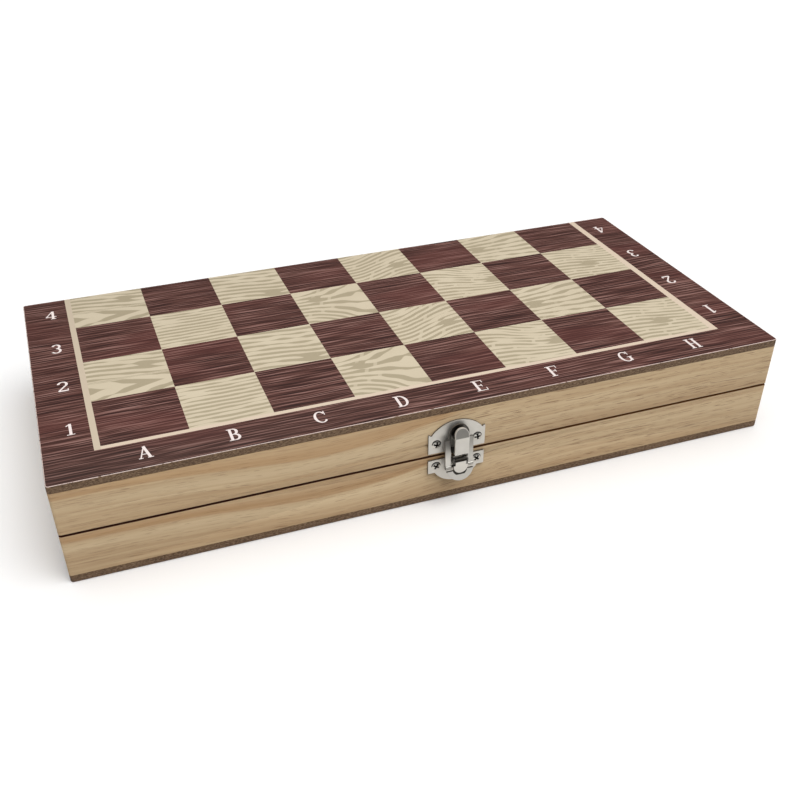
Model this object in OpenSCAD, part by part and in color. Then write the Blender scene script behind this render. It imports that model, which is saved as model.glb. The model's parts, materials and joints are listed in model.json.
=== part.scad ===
// Folding chess box with its chessmen: two shallow wooden trays hinged along the back,
// each faced with half of the board, held shut by a toggle latch at the front.
// The origin is at the middle of the underside, +X to the right, +Y to the back, +Z up.

/* [Box] */
// Length of the folded box
box_l = 290; // [270:1:360]
// Depth of the folded box, front to back
box_d = 142; // [140:1:180]
// Height of one half, from its printed face to its rim
half_h = 20.8; // [20:0.1:24]
// Thickness of the printed panel
panel_t = 3.1; // [2.5:0.1:4]
// Thickness of the pine rails
rail_t = 10; // [9:0.5:12]
// Gap between the two rims when the box is shut
seam_gap = 0.8; // [0.7:0.05:1]
// Radius of the upright corners
corner_r = 1.2; // [1:0.1:5]

/* [Hinges] */
// Distance of each hinge's middle from its end of the box
hinge_in = 55; // [40:1:85]
// Length of a hinge
hinge_l = 24; // [18:1:36]
// Radius of the hinge knuckles
knuckle_r = 1.9; // [1.7:0.1:2.1]
// Radius of the hinge pin
hinge_pin_r = 0.8; // [0.6:0.05:0.9]
// Thickness of a hinge leaf
leaf_t = 0.8; // [0.7:0.05:1]
// Width of a hinge leaf, from the hinge axis
leaf_w = 8.5; // [7:0.5:8.5]
// Distance of the hinge axis behind the back face
axis_back = 0.2; // [0.15:0.05:0.4]

/* [Latch] */
// Distance of the latch to the right of the middle of the box
latch_x = 2.5; // [-40:0.5:40]
// Width of the two latch plates
plate_w = 23.2; // [21:0.1:26]
// Thickness of the two latch plates
plate_t = 0.8; // [0.6:0.05:1]
// Height of the keeper plate's square shoulders above the seam
shoulder_z = 10; // [9.5:0.1:10.5]
// Height of the keeper plate's arch above the seam
arch_z = 14.7; // [14:0.1:16]
// Depth of the base plate below the seam
base_z = 12.6; // [12:0.1:14]
// Width of the keeper's hook
hook_w = 5.7; // [4.5:0.1:6]
// How far the hook stands out from the box
hook_out = 6; // [5.8:0.1:6.5]
// Width of the loop over both arms
loop_w = 11.5; // [11:0.1:13]
// Width of one arm of the loop
arm_w = 2.4; // [2:0.05:2.45]
// Thickness of the loop
loop_t = 1; // [0.8:0.05:1]
// Radius of the lever's pin
lever_pin_r = 0.6; // [0.5:0.05:0.7]
// Radius of the loop's pin
loop_pin_r = 0.45; // [0.35:0.05:0.5]
// Radius of the latch screws' heads
head_r = 1.9; // [1.6:0.05:2.1]
// Radius of the latch screws' shanks
shank_r = 1; // [0.8:0.05:1.2]

/* [Chessmen] */
// Height of a king, its cross included
king_h = 56; // [50:0.5:57]
// Height of a queen
queen_h = 50; // [44:0.5:54]
// Height of a bishop
bishop_h = 43; // [38:0.5:50]
// Height of a knight
knight_h = 38; // [35:0.5:42]
// Height of a rook
rook_h = 32; // [28:0.5:38]
// Height of a pawn
pawn_h = 28; // [25:0.5:28.5]
// Radius of the king's and the queen's foot
royal_r = 9.5; // [8.5:0.1:9.8]
// Radius of the foot of a bishop, a knight and a rook
officer_r = 8.5; // [7.8:0.1:9]
// Radius of a pawn's foot
pawn_r = 7.25; // [6.5:0.05:7.4]
// Space between neighbours in the tray
men_gap = 1.5; // [1:0.1:2]

/* [Clearances] */
// Radial clearance where a knuckle or a barrel turns on its pin
run_clear = 0.05; // [0.03:0.01:0.08]
// Radial clearance of a screw in its hole
screw_clear = 0.04; // [0.02:0.01:0.08]
// Clearance between pieces that move past each other
side_clear = 0.3; // [0.2:0.05:0.4]

/* [Hidden] */
$fn = 48;
SIDES = ["light", "dark"];
MEN = ["queens_rook", "queens_knight", "queens_bishop", "queen", "king", "kings_bishop",
    "kings_knight", "kings_rook", "pawn_1", "pawn_2", "pawn_3", "pawn_4", "pawn_5", "pawn_6",
    "pawn_7", "pawn_8"];

total_h = 2 * half_h + seam_gap;
seam_z = total_h / 2;
rail_h = half_h - panel_t;
inner_l = box_l - 2 * rail_t;
inner_d = box_d - 2 * rail_t;
eps = 0.01;

pine = "burlywood";
board = "saddlebrown";
nickel = "silver";
light_wood = "wheat";
dark_wood = "sienna";

// ---- The two trays -------------------------------------------------------------------

// Plan of the box with its rounded corners.
module footprint() {
    square([box_l - 2 * corner_r, box_d], center = true);
    square([box_l, box_d - 2 * corner_r], center = true);
    for (sx = [-1, 1], sy = [-1, 1])
        translate([sx * (box_l / 2 - corner_r), sy * (box_d / 2 - corner_r)]) circle(corner_r);
}

// The upper half's copy of a piece of the lower one: its mirror image in the seam.
module in_upper_half() {
    translate([0, 0, total_h]) mirror([0, 0, 1]) children();
}

module panel() {
    linear_extrude(panel_t) footprint();
}

// A long rail, running to both ends of the box: sy is -1 at the front and 1 at the back.
module long_rail(sy) {
    translate([0, 0, panel_t]) linear_extrude(rail_h) intersection() {
        footprint();
        translate([-box_l / 2, sy > 0 ? box_d / 2 - rail_t : -box_d / 2]) square([box_l, rail_t]);
    }
}

// A short rail, fitted between the long ones: sx is -1 at the left and 1 at the right.
module short_rail(sx) {
    translate([sx > 0 ? box_l / 2 - rail_t : -box_l / 2, -inner_d / 2, panel_t])
        cube([rail_t, inner_d, rail_h]);
}

// The front rail, drilled for the two screws of its latch plate.
module front_rail(screw_z) {
    difference() {
        long_rail(-1);
        at_latch() for (sx = [-1, 1]) translate([sx * latch_screw_x, screw_z, -screw_depth])
            cylinder(h = screw_depth + eps, r = shank_r + screw_clear);
    }
}

// The back rail has a pocket for each leaf, a notch round its knuckles and two screw holes.
module back_rail() {
    difference() {
        long_rail(1);
        for (sx = [-1, 1]) at_hinge(sx) {
            translate([-hinge_l / 2 - side_clear, -leaf_w - side_clear, -leaf_gap / 2 - leaf_t])
                cube([hinge_l + 2 * side_clear, leaf_w + side_clear, half_h]);
            rotate([0, 90, 0]) cylinder(h = hinge_l + 2 * side_clear, r = knuckle_r + side_clear,
                center = true);
            at_leaf_screws() translate([0, 0, -hinge_screw_l - side_clear])
                cylinder(h = hinge_screw_l, r = hinge_shank_r + screw_clear);
        }
    }
}

// ---- Hinges --------------------------------------------------------------------------

hinge_x = box_l / 2 - hinge_in;
axis_y = box_d / 2 + axis_back;
leaf_gap = side_clear;
hinge_screw_x = hinge_l * 0.3;
hinge_screw_y = leaf_w * 0.6;
hinge_screw_l = 7;
hinge_shank_r = 0.8;
hinge_head_r = 1.6;
third = hinge_l / 3;

// A leaf with the knuckles whose middles lie at the places in the list xs.
module leaf(xs, bore_r) {
    plate_end = knuckle_r + side_clear;
    difference() {
        union() {
            translate([-hinge_l / 2, -leaf_w, -leaf_gap / 2 - leaf_t])
                cube([hinge_l, leaf_w - plate_end, leaf_t]);
            for (x = xs) translate([x, 0, 0]) {
                rotate([0, 90, 0]) cylinder(h = third - side_clear, r = knuckle_r, center = true);
                translate([-(third - side_clear) / 2, -plate_end - side_clear, -leaf_gap / 2 - leaf_t])
                    cube([third - side_clear, knuckle_r, leaf_t]);
            }
        }
        rotate([0, 90, 0]) cylinder(h = hinge_l + 1, r = bore_r, center = true);
        at_leaf_screws() translate([0, 0, -leaf_t - eps]) cylinder(h = leaf_t + 2 * eps,
            r1 = hinge_shank_r + screw_clear, r2 = hinge_head_r + screw_clear);
    }
}

// The tops of the two screws in the lower leaf of a hinge.
module at_leaf_screws() {
    for (hx = [-1, 1]) translate([hx * hinge_screw_x, -hinge_screw_y, -leaf_gap / 2]) children();
}

module lower_leaf() {
    leaf([-third, third], hinge_pin_r);
}

module upper_leaf() {
    mirror([0, 0, 1]) leaf([0], hinge_pin_r + run_clear);
}

module hinge_pin() {
    rotate([0, 90, 0]) cylinder(h = hinge_l - side_clear, r = hinge_pin_r, center = true);
}

// The four screws of one half's two leaves, with a cross slot in each head.
module hinge_screws() {
    for (sx = [-1, 1]) at_hinge(sx) at_leaf_screws() difference() {
        union() {
            translate([0, 0, -leaf_t]) cylinder(h = leaf_t, r1 = hinge_shank_r, r2 = hinge_head_r);
            translate([0, 0, -hinge_screw_l]) cylinder(h = hinge_screw_l - leaf_t + eps,
                r = hinge_shank_r);
        }
        cross_slot(1.2 * hinge_head_r, 0.35, 0.45);
    }
}

// A cross slot cut downwards from z = 0.
module cross_slot(length, width, depth) {
    for (a = [0, 90]) rotate(a) translate([-length / 2, -width / 2, -depth])
        cube([length, width, depth + 1]);
}

module at_hinge(sx) {
    translate([sx * hinge_x, axis_y, seam_z]) children();
}

// ---- Latch ---------------------------------------------------------------------------
// Its pieces are drawn flat on the front face: x to the right, y up from the seam, z outwards.

latch_screw_x = 8.4;
keeper_screw_z = 5.6;
base_screw_z = -4.4;
screw_depth = 7;
keeper_low = 1.5;
base_top = -1.7;
ear_low = -7.6;
hook_low = 2.3;
hook_shelf = 9.6;
hook_top = 13.5;
hook_lean = 1.2;
hook_t = 0.8;
// The lever turns at its pin, and carries the loop on the other one.
lever_at = [-1.2, 4.3];
loop_at = [-4.2, 3.5];
barrel_r = 1.2;
loop_knuckle_r = 0.85;
ear_t = 0.7;
barrel_w = 4.4;
loop_lean = 4.3;
tongue_w = 5.8;
tab_low = -9.7;
wing_top = -5.6;
tab_t = 0.8;

module at_latch() {
    translate([latch_x, -box_d / 2, seam_z]) rotate([90, 0, 0]) children();
}

// Turns a side view, drawn as [up, out], into a solid of width w across the latch.
module side_extrude(w) {
    rotate([90, 0, 90]) linear_extrude(w, center = true) children();
}

// Points of an arc about a centre.
function arc(c, r, from, to, steps = 8) =
    [for (i = [0:steps]) c + r * [cos(from + (to - from) * i / steps), sin(from + (to - from) * i / steps)]];

module screw_holes(z) {
    for (sx = [-1, 1]) translate([sx * latch_screw_x, z]) circle(shank_r + screw_clear);
}

module keeper_outline() {
    rise = arch_z - shoulder_z;
    half_chord = plate_w / 2 - 1.5;
    arch_r = (half_chord * half_chord + rise * rise) / (2 * rise);
    difference() {
        union() {
            translate([-plate_w / 2, keeper_low]) square([plate_w, shoulder_z - keeper_low]);
            intersection() {
                translate([0, arch_z - arch_r]) circle(arch_r, $fn = 96);
                translate([-plate_w / 2, shoulder_z - 1]) square([plate_w, rise + 2]);
            }
        }
        for (sx = [-1, 1]) translate([sx * (half_chord + 0.35), shoulder_z + 0.1]) circle(0.5);
        screw_holes(keeper_screw_z);
    }
}

// Side view of the hook: a folded strip standing out from the plate, with a lip that leans back.
module hook_side() {
    polygon([[hook_low, 0], [hook_low, hook_out], [hook_shelf, hook_out],
        [hook_top, hook_out - hook_lean], [hook_top, hook_out - hook_lean - hook_t],
        [hook_shelf, hook_out - hook_t], [hook_shelf, 0], [hook_shelf - hook_t, 0],
        [hook_shelf - hook_t, hook_out - hook_t], [hook_low + hook_t, hook_out - hook_t],
        [hook_low + hook_t, 0]]);
}

module keeper_plate() {
    linear_extrude(plate_t) keeper_outline();
    intersection() {
        side_extrude(hook_w) hook_side();
        linear_extrude(hook_out + 1) union() {
            translate([-hook_w / 2, 0]) square([hook_w, hook_top - hook_w / 2]);
            translate([0, hook_top - hook_w / 2]) circle(hook_w / 2);
        }
    }
}

module base_outline() {
    bulge_r = 10.2;
    difference() {
        union() {
            translate([-plate_w / 2, ear_low]) square([plate_w, base_top - ear_low]);
            intersection() {
                translate([0, bulge_r - base_z]) circle(bulge_r, $fn = 96);
                translate([-plate_w / 2, -base_z]) square([plate_w, base_z + base_top]);
            }
        }
        screw_holes(base_screw_z);
    }
}

// Side view of an ear of the base plate, round the lever's pin.
module ear_side() {
    difference() {
        union() {
            translate(lever_at) circle(barrel_r);
            polygon([[base_top, 0], [base_top - 2.4, 0], lever_at + barrel_r * [-0.66, -0.75],
                lever_at + barrel_r * [-0.1, 0.99], lever_at + barrel_r * [0.97, -0.24]]);
        }
        translate(lever_at) circle(lever_pin_r);
    }
}

module base_plate() {
    linear_extrude(plate_t) base_outline();
    for (sx = [-1, 1]) translate([sx * (barrel_w / 2 + side_clear / 2 + ear_t / 2), 0, 0])
        side_extrude(ear_t) ear_side();
}

module lever_pin() {
    translate([0, lever_at[0], lever_at[1]]) rotate([0, 90, 0])
        cylinder(h = barrel_w + side_clear + 2 * ear_t, r = lever_pin_r, center = true);
}

// The lever: a barrel on its pin, a boss for the loop's pin, a rounded tongue and the finger tab.
module lever() {
    front = lever_at[1] + barrel_r;
    wing_out = front - 0.7;
    tongue_at = -3.5;
    window_r = tongue_w / 2 + 0.35;
    rib_low = -8;
    difference() {
        union() {
            side_extrude(barrel_w) {
                translate(lever_at) circle(barrel_r);
                translate(loop_at) circle(loop_knuckle_r);
                polygon([[lever_at[0], front], [tongue_at - 1, front], [wing_top - 0.6, front - 0.9],
                    [rib_low, front - 0.9], [rib_low, wing_out - tab_t],
                    [loop_at[0] - 0.3, loop_at[1] - loop_knuckle_r + 0.05],
                    [lever_at[0] - 0.4, lever_at[1] - barrel_r + 0.1]]);
            }
            translate([0, 0, front - tab_t]) linear_extrude(tab_t) {
                translate([-tongue_w / 2, tongue_at]) square([tongue_w, 0.6]);
                intersection() {
                    translate([0, tongue_at]) circle(tongue_w / 2);
                    translate([-tongue_w / 2, tongue_at - tongue_w]) square(tongue_w);
                }
            }
            intersection() {
                side_extrude(loop_w) polygon([[wing_top, wing_out], [tab_low, hook_out],
                    [tab_low, hook_out - tab_t], [wing_top, wing_out - tab_t]]);
                linear_extrude(2 * hook_out) difference() {
                    translate([0, tab_low + loop_w / 2]) circle(loop_w / 2, $fn = 96);
                    translate([0, tongue_at]) circle(window_r);
                    translate([-window_r, tongue_at]) square(2 * window_r);
                }
            }
        }
        translate([0, lever_at[0], lever_at[1]]) rotate([0, 90, 0])
            cylinder(h = loop_w, r = lever_pin_r + run_clear, center = true);
        translate([0, loop_at[0], loop_at[1]]) rotate([0, 90, 0])
            cylinder(h = loop_w, r = loop_pin_r, center = true);
    }
}

module loop_pin() {
    translate([0, loop_at[0], loop_at[1]]) rotate([0, 90, 0])
        cylinder(h = loop_w - 0.4, r = loop_pin_r, center = true);
}

// The loop is one bent plate: a knuckle on each arm, and a round head that drops behind the lip.
module loop() {
    arm_h = 12.1;
    round_r = 4.1;
    round_y = 14;
    window_h = 14.25;
    arm_in = loop_w / 2 - arm_w;
    translate([0, loop_at[0], loop_at[1]]) rotate([-loop_lean, 0, 0]) difference() {
        union() {
            translate([0, 0, -loop_t / 2]) linear_extrude(loop_t) difference() {
                union() {
                    translate([-loop_w / 2, 0]) square([loop_w, arm_h]);
                    translate([-round_r, 0]) square([2 * round_r, round_y]);
                    translate([0, round_y]) circle(round_r);
                }
                translate([-arm_in, -1]) square([2 * arm_in, window_h + 1]);
            }
            for (sx = [-1, 1]) translate([sx * (loop_w - arm_w) / 2, 0, 0]) rotate([0, 90, 0])
                cylinder(h = arm_w, r = loop_knuckle_r, center = true);
        }
        rotate([0, 90, 0]) cylinder(h = loop_w + 1, r = loop_pin_r + run_clear, center = true);
    }
}

// Two round-headed screws through a latch plate into the rail.
module latch_screws(z) {
    dome = 0.9;
    dome_r = (head_r * head_r + dome * dome) / (2 * dome);
    for (sx = [-1, 1]) translate([sx * latch_screw_x, z, plate_t]) difference() {
        union() {
            intersection() {
                translate([0, 0, dome - dome_r]) sphere(dome_r, $fn = 64);
                cylinder(h = dome, r = head_r);
            }
            translate([0, 0, -plate_t - screw_depth + 1]) cylinder(h = plate_t + screw_depth - 1
                + eps, r = shank_r);
        }
        translate([0, 0, dome]) cross_slot(2.2, 0.5, 0.6);
    }
}

// ---- Chessmen ------------------------------------------------------------------------
// Each is turned about the Z axis, standing on its foot, and then laid down in the tray.

foot_z = 2.2;
rook_top = 0.72;
knight_t = 8;
pawn_ball = 0.58;

function foot(r) = [[0, 0], [r - 0.5, 0], [r, 0.5], [r, foot_z], [r - 0.8, foot_z + 0.8],
    [r - 0.8, foot_z + 1.4], [r - 1.9, foot_z + 2.2]];
// A stem that sweeps in from radius r0 at height z0 to r1 at z1.
function stem(r0, z0, r1, z1, steps = 6) =
    [for (i = [1:steps]) let (t = i / steps) [r1 + (r0 - r1) * pow(1 - t, 2.4), z0 + (z1 - z0) * t]];
function collar(r, z, t) = [[r - 0.5, z], [r, z + t * 0.3], [r, z + t * 0.7], [r - 0.5, z + t]];

module turned(points) {
    rotate_extrude() polygon(points);
}

module pawn() {
    ball_r = pawn_ball * pawn_r;
    neck_z = pawn_h - 2 * ball_r;
    turned(concat(foot(pawn_r), stem(pawn_r - 1.9, foot_z + 2.2, 2.3, neck_z - 0.9),
        collar(4, neck_z - 0.9, 1.3), [[2.2, neck_z + 0.5]],
        arc([0, pawn_h - ball_r], ball_r, -55, 90, 9)));
}

module rook() {
    top_r = rook_top * officer_r;
    cup = rook_h - 8;
    difference() {
        turned(concat(foot(officer_r), stem(officer_r - 1.9, foot_z + 2.2, 4.1, cup - 1.6),
            collar(5.6, cup - 1.6, 1.4), [[top_r - 1, cup], [top_r, cup + 1.6], [top_r, rook_h],
            [0, rook_h]]));
        translate([0, 0, rook_h - 2.6]) cylinder(h = 3, r = top_r - 1.6);
        for (a = [0:60:120]) rotate(a) translate([-officer_r, -0.9, rook_h - 2.2])
            cube([2 * officer_r, 1.8, 3]);
    }
}

module bishop() {
    mitre_r = 4.6;
    neck_z = bishop_h - 14;
    top = bishop_h - 2.6;
    difference() {
        turned(concat(foot(officer_r), stem(officer_r - 1.9, foot_z + 2.2, 2.7, neck_z - 2.2),
            collar(5.4, neck_z - 2.2, 1.3), collar(4.4, neck_z - 0.9, 1.1), [[2.9, neck_z + 0.3]],
            [for (i = [0:8]) let (t = i / 8) [mitre_r * (1 - pow(abs(t * 1.35 - 0.38), 2.2)) * 0.98 + 0.1,
                neck_z + 0.6 + (top - neck_z - 0.6) * t]],
            arc([0, bishop_h - 1.5], 1.5, -60, 90, 5)));
        translate([0.6, 0, bishop_h - 8]) rotate([0, 35, 0]) translate([0, -mitre_r, 0])
            cube([0.8, 2 * mitre_r, 9]);
    }
}

module queen() {
    crown_r = 5.6;
    neck_z = queen_h - 12.5;
    rim = queen_h - 3.6;
    difference() {
        turned(concat(foot(royal_r), stem(royal_r - 1.9, foot_z + 2.2, 2.9, neck_z - 2.6),
            collar(6.2, neck_z - 2.6, 1.4), collar(4.8, neck_z - 1.2, 1.2),
            [[3, neck_z + 0.2], [3.4, neck_z + 3], [4.3, neck_z + 6], [crown_r, rim], [crown_r - 0.9, rim + 0.3],
             [3.4, rim + 0.6], [2.2, rim + 1.2]],
            arc([0, queen_h - 1.6], 1.6, -50, 90, 5)));
        for (a = [0:45:315]) rotate(a) translate([crown_r - 0.2, 0, rim + 0.5])
            rotate([0, 60, 0]) cylinder(h = 4, r = 0.9, center = true);
    }
}

module king() {
    crown_r = 5.8;
    neck_z = king_h - 19;
    rim = king_h - 9.4;
    turned(concat(foot(royal_r), stem(royal_r - 1.9, foot_z + 2.2, 3.1, neck_z - 2.8),
        collar(6.6, neck_z - 2.8, 1.5), collar(5, neck_z - 1.3, 1.3),
        [[3.2, neck_z + 0.2], [3.6, neck_z + 3], [4.5, neck_z + 6], [crown_r, rim],
         [crown_r, rim + 0.8], [4.6, rim + 1.9], [2.4, rim + 3.1], [1.6, rim + 3.6],
         [0, rim + 3.8]]));
    translate([-1, -0.9, rim + 3]) cube([2, 1.8, king_h - rim - 3]);
    translate([-2.7, -0.9, king_h - 4.4]) cube([5.4, 1.8, 2]);
}

// Rounds a closed outline by cutting its corners, as many times as passes says.
function rounded(points, passes) = passes == 0 ? points
    : rounded([for (i = [0:len(points) - 1], t = [0.25, 0.75])
        points[i] * (1 - t) + points[(i + 1) % len(points)] * t], passes - 1);

// A horse's head, cut from a board with rounded cheeks, on a turned foot.
module knight() {
    shelf = 12.5;
    h = knight_h - shelf;
    // Outline from the shelf up the chest, round the muzzle and the ear, and down the mane.
    head = [[-4.9, -0.1], [4.6, -0.1], [5.9, 0.12], [4.6, 0.34], [2.2, 0.46], [4.8, 0.47], [7.4, 0.4],
        [8.7, 0.5], [8.1, 0.64], [5, 0.8], [4.2, 0.9], [2.9, 1.03], [1.9, 1.02], [1, 0.92], [-2, 0.92],
        [-4.8, 0.75], [-5.8, 0.45]];
    turned(concat(foot(officer_r), stem(officer_r - 1.9, foot_z + 2.2, 5.6, shelf - 1.4),
        collar(6.6, shelf - 1.4, 1.4), [[0, shelf]]));
    intersection() {
        rotate([90, 0, 0]) linear_extrude(knight_t, center = true)
            polygon(rounded([for (p = head) [p[0], shelf + h * p[1]]], 2));
        union() {
            cylinder(h = shelf + 0.45 * h, r = 5.5);
            translate([1, 0, shelf + 0.3 * h]) cylinder(h = knight_h, r = 7.4);
        }
    }
}

// Lays a man down with its foot to the front. It touches the tray with the rim of its foot and
// with a circle of radius top_r at height top_z.
module lay(foot_r, top_r, top_z) {
    tilt = atan((foot_r - top_r) / (top_z - foot_z));
    translate([0, foot_r * sin(tilt), foot_r * cos(tilt) + foot_z * sin(tilt)])
        rotate([-90 - tilt, 0, 0]) children();
}

function foot_of(i) = i == 3 || i == 4 ? royal_r : i < 8 ? officer_r : pawn_r;
// The eight officers of a side lie side by side along its wall, dark ones facing light ones. The
// pawns follow, as many to a column as the tray is deep: the light ones' columns, then the dark's.
pawns_deep = floor((inner_d - men_gap) / (pawn_h + men_gap));
pawn_columns = ceil(8 / pawns_deep);
function column(side, i) = i < 8 ? i
    : 8 + (side == "dark" ? pawn_columns : 0) + floor((i - 8) / pawns_deep);
function left_of(c) = c == 0 ? 0 : left_of(c - 1) + 2 * foot_of(c - 1) + men_gap;
function man_x(side, i) = -inner_l / 2 + men_gap + left_of(column(side, i)) + foot_of(i);
function man_y(i) = -inner_d / 2 + men_gap
    + (i < 8 ? 0 : (i - 8) % pawns_deep * (pawn_h + men_gap));

// Man i of one side in its place in the lower tray; the dark men lie with their feet to the back.
module man(side, i) {
    color(side == "light" ? light_wood : dark_wood)
        mirror([0, side == "dark" ? 1 : 0, 0])
        translate([man_x(side, i), man_y(i), panel_t + side_clear]) {
            if (i == 0 || i == 7) lay(officer_r, rook_top * officer_r, rook_h) rook();
            if (i == 1 || i == 6) lay(officer_r, knight_t / 2, knight_h) knight();
            if (i == 2 || i == 5) lay(officer_r, 5.4, bishop_h - 15.3) bishop();
            if (i == 3) lay(royal_r, 5.6, queen_h - 3.6) queen();
            if (i == 4) lay(royal_r, 5.8, king_h - 8.6) king();
            if (i >= 8) lay(pawn_r, pawn_ball * pawn_r, pawn_h - pawn_ball * pawn_r) pawn();
        }
}

// ---- The sub-parts -------------------------------------------------------------------

module lower_panel() { color(board) panel(); }
module lower_front_rail() { color(pine) front_rail(base_screw_z); }
module lower_back_rail() { color(pine) back_rail(); }
module lower_left_rail() { color(pine) short_rail(-1); }
module lower_right_rail() { color(pine) short_rail(1); }
module upper_panel() { color(board) in_upper_half() panel(); }
module upper_front_rail() { color(pine) in_upper_half() front_rail(-keeper_screw_z); }
module upper_back_rail() { color(pine) in_upper_half() back_rail(); }
module upper_left_rail() { color(pine) in_upper_half() short_rail(-1); }
module upper_right_rail() { color(pine) in_upper_half() short_rail(1); }
module left_hinge_lower_leaf() { color(nickel) at_hinge(-1) lower_leaf(); }
module left_hinge_upper_leaf() { color(nickel) at_hinge(-1) upper_leaf(); }
module left_hinge_pin() { color(nickel) at_hinge(-1) hinge_pin(); }
module right_hinge_lower_leaf() { color(nickel) at_hinge(1) lower_leaf(); }
module right_hinge_upper_leaf() { color(nickel) at_hinge(1) upper_leaf(); }
module right_hinge_pin() { color(nickel) at_hinge(1) hinge_pin(); }
module lower_hinge_screws() { color(nickel) hinge_screws(); }
module upper_hinge_screws() { color(nickel) in_upper_half() hinge_screws(); }
module latch_base_plate() { color(nickel) at_latch() base_plate(); }
module latch_base_screws() { color(nickel) at_latch() latch_screws(base_screw_z); }
module latch_keeper_plate() { color(nickel) at_latch() keeper_plate(); }
module latch_keeper_screws() { color(nickel) at_latch() latch_screws(keeper_screw_z); }
module latch_lever() { color(nickel) at_latch() lever(); }
module latch_lever_pin() { color(nickel) at_latch() lever_pin(); }
module latch_loop() { color(nickel) at_latch() loop(); }
module latch_loop_pin() { color(nickel) at_latch() loop_pin(); }

lower_panel();
lower_front_rail();
lower_back_rail();
lower_left_rail();
lower_right_rail();
upper_panel();
upper_front_rail();
upper_back_rail();
upper_left_rail();
upper_right_rail();
left_hinge_lower_leaf();
left_hinge_upper_leaf();
left_hinge_pin();
right_hinge_lower_leaf();
right_hinge_upper_leaf();
right_hinge_pin();
lower_hinge_screws();
upper_hinge_screws();
latch_base_plate();
latch_base_screws();
latch_keeper_plate();
latch_keeper_screws();
latch_lever();
latch_lever_pin();
latch_loop();
latch_loop_pin();
for (side = SIDES, i = [0:len(MEN) - 1])
    man(side, i);
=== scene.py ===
# %% [markdown]
# A folding chess box, dressed around its CAD part.
# The box is two shallow pine trays, hinged along the back and held shut by a toggle latch.
# Each tray is closed by a thin fibreboard panel that carries half of the board as a print.
# The CAD solids give every place and size here, and this script adds what a CAD model leaves out:
# softened edges, the printed woods, the coordinates, the screw heads and the finishes.

import json
import math

import bmesh
import bpy
from mathutils import Matrix, Vector

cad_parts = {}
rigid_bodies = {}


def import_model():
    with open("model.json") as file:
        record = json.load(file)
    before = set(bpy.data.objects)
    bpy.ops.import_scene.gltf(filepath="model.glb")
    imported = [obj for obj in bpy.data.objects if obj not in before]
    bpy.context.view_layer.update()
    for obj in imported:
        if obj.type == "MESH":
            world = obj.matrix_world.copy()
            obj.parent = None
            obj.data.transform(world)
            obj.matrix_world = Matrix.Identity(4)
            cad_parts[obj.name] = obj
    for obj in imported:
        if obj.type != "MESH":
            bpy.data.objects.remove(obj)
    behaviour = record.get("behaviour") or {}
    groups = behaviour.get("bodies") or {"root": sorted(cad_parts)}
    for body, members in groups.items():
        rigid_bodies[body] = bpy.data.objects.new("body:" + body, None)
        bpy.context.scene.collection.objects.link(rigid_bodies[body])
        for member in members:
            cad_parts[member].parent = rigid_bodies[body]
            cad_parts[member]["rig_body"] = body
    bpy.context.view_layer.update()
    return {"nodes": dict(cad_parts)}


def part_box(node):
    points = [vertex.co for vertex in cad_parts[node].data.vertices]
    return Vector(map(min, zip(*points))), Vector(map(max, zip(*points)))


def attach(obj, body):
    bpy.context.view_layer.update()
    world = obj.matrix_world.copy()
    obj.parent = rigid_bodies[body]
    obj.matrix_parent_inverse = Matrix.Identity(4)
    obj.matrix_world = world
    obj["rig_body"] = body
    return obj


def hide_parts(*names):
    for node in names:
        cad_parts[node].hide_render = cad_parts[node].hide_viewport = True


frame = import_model()

MM = 0.001
panel_low, panel_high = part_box("upper_panel")
SQUARE = (panel_high.x - panel_low.x) / 9.29        # the print is 9.29 squares long
GRID_X = panel_low.x + 0.64 * SQUARE                # left edge of the first file
GRID_Y = panel_low.y + 0.59 * SQUARE                # outer edge of the first row of squares
TOP_Z = panel_high.z
SEAM_Z = TOP_Z / 2
RAIL_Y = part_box("lower_front_rail")[0].y            # the face that the latch is screwed to
LATCH_X = sum(corner.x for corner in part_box("latch_keeper_plate")) / 2
OUTER_Z = {"upper": TOP_Z, "lower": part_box("lower_panel")[0].z}     # of the two printed faces
OUTWARD = {"upper": 1, "lower": -1}                 # the way along z that a printed face looks
BODY_OF = {node: o["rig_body"] for node, o in frame["nodes"].items()}
print("square", round(SQUARE / MM, 2), "mm, panel", [round(v / MM, 1) for v in
                                                     panel_high - panel_low])

# %% [markdown]
# Materials are sums of patterns, so they are written as sums.
# Nodes could be linked one by one, but a long formula is then hard to follow.
# A Value wraps one output of a node. Adding or multiplying Values adds the Math nodes for it.


# %% Values: outputs of nodes that work like numbers
class Value:
    """One output of a node, used like a number."""

    def __init__(self, graph, socket):
        self.graph, self.socket = graph, socket

    def math(self, operation, *others):
        inputs = dict(enumerate((self, *others)))
        return self.graph.node("ShaderNodeMath", inputs, operation=operation)

    def magnitude(self):
        return self.math("ABSOLUTE")

    def most(self, other):
        return self.math("MAXIMUM", other)

    def __add__(self, other):
        return self.math("ADD", other)

    def __sub__(self, other):
        return self.math("SUBTRACT", other)

    def __rsub__(self, other):
        return self.graph.node("ShaderNodeMath", {0: other, 1: self}, operation="SUBTRACT")

    def __mul__(self, other):
        return self.math("MULTIPLY", other)

    def __truediv__(self, other):
        return self.math("DIVIDE", other)

    __radd__, __rmul__ = __add__, __mul__

    def __gt__(self, other):
        return self.math("GREATER_THAN", other)

    def __lt__(self, other):
        return self.math("LESS_THAN", other)

    def ease(self, start, end):
        """0 below start, 1 above end and smooth between them."""
        return self.graph.node("ShaderNodeMapRange", {0: self, 1: start, 2: end},
                               interpolation_type="SMOOTHSTEP")

    def ramp(self, *stops, interpolation="LINEAR"):
        return self.graph.node("ShaderNodeValToRGB", {0: self}, ramp=(interpolation, stops))


# %% [markdown]
# A Graph makes every other node through one method, which sets the node's settings first.
# The settings decide which inputs the node has, so only then are numbers and links given to them.
# Patterns are read at the point's place in metres, so their sizes are real sizes.


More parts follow.
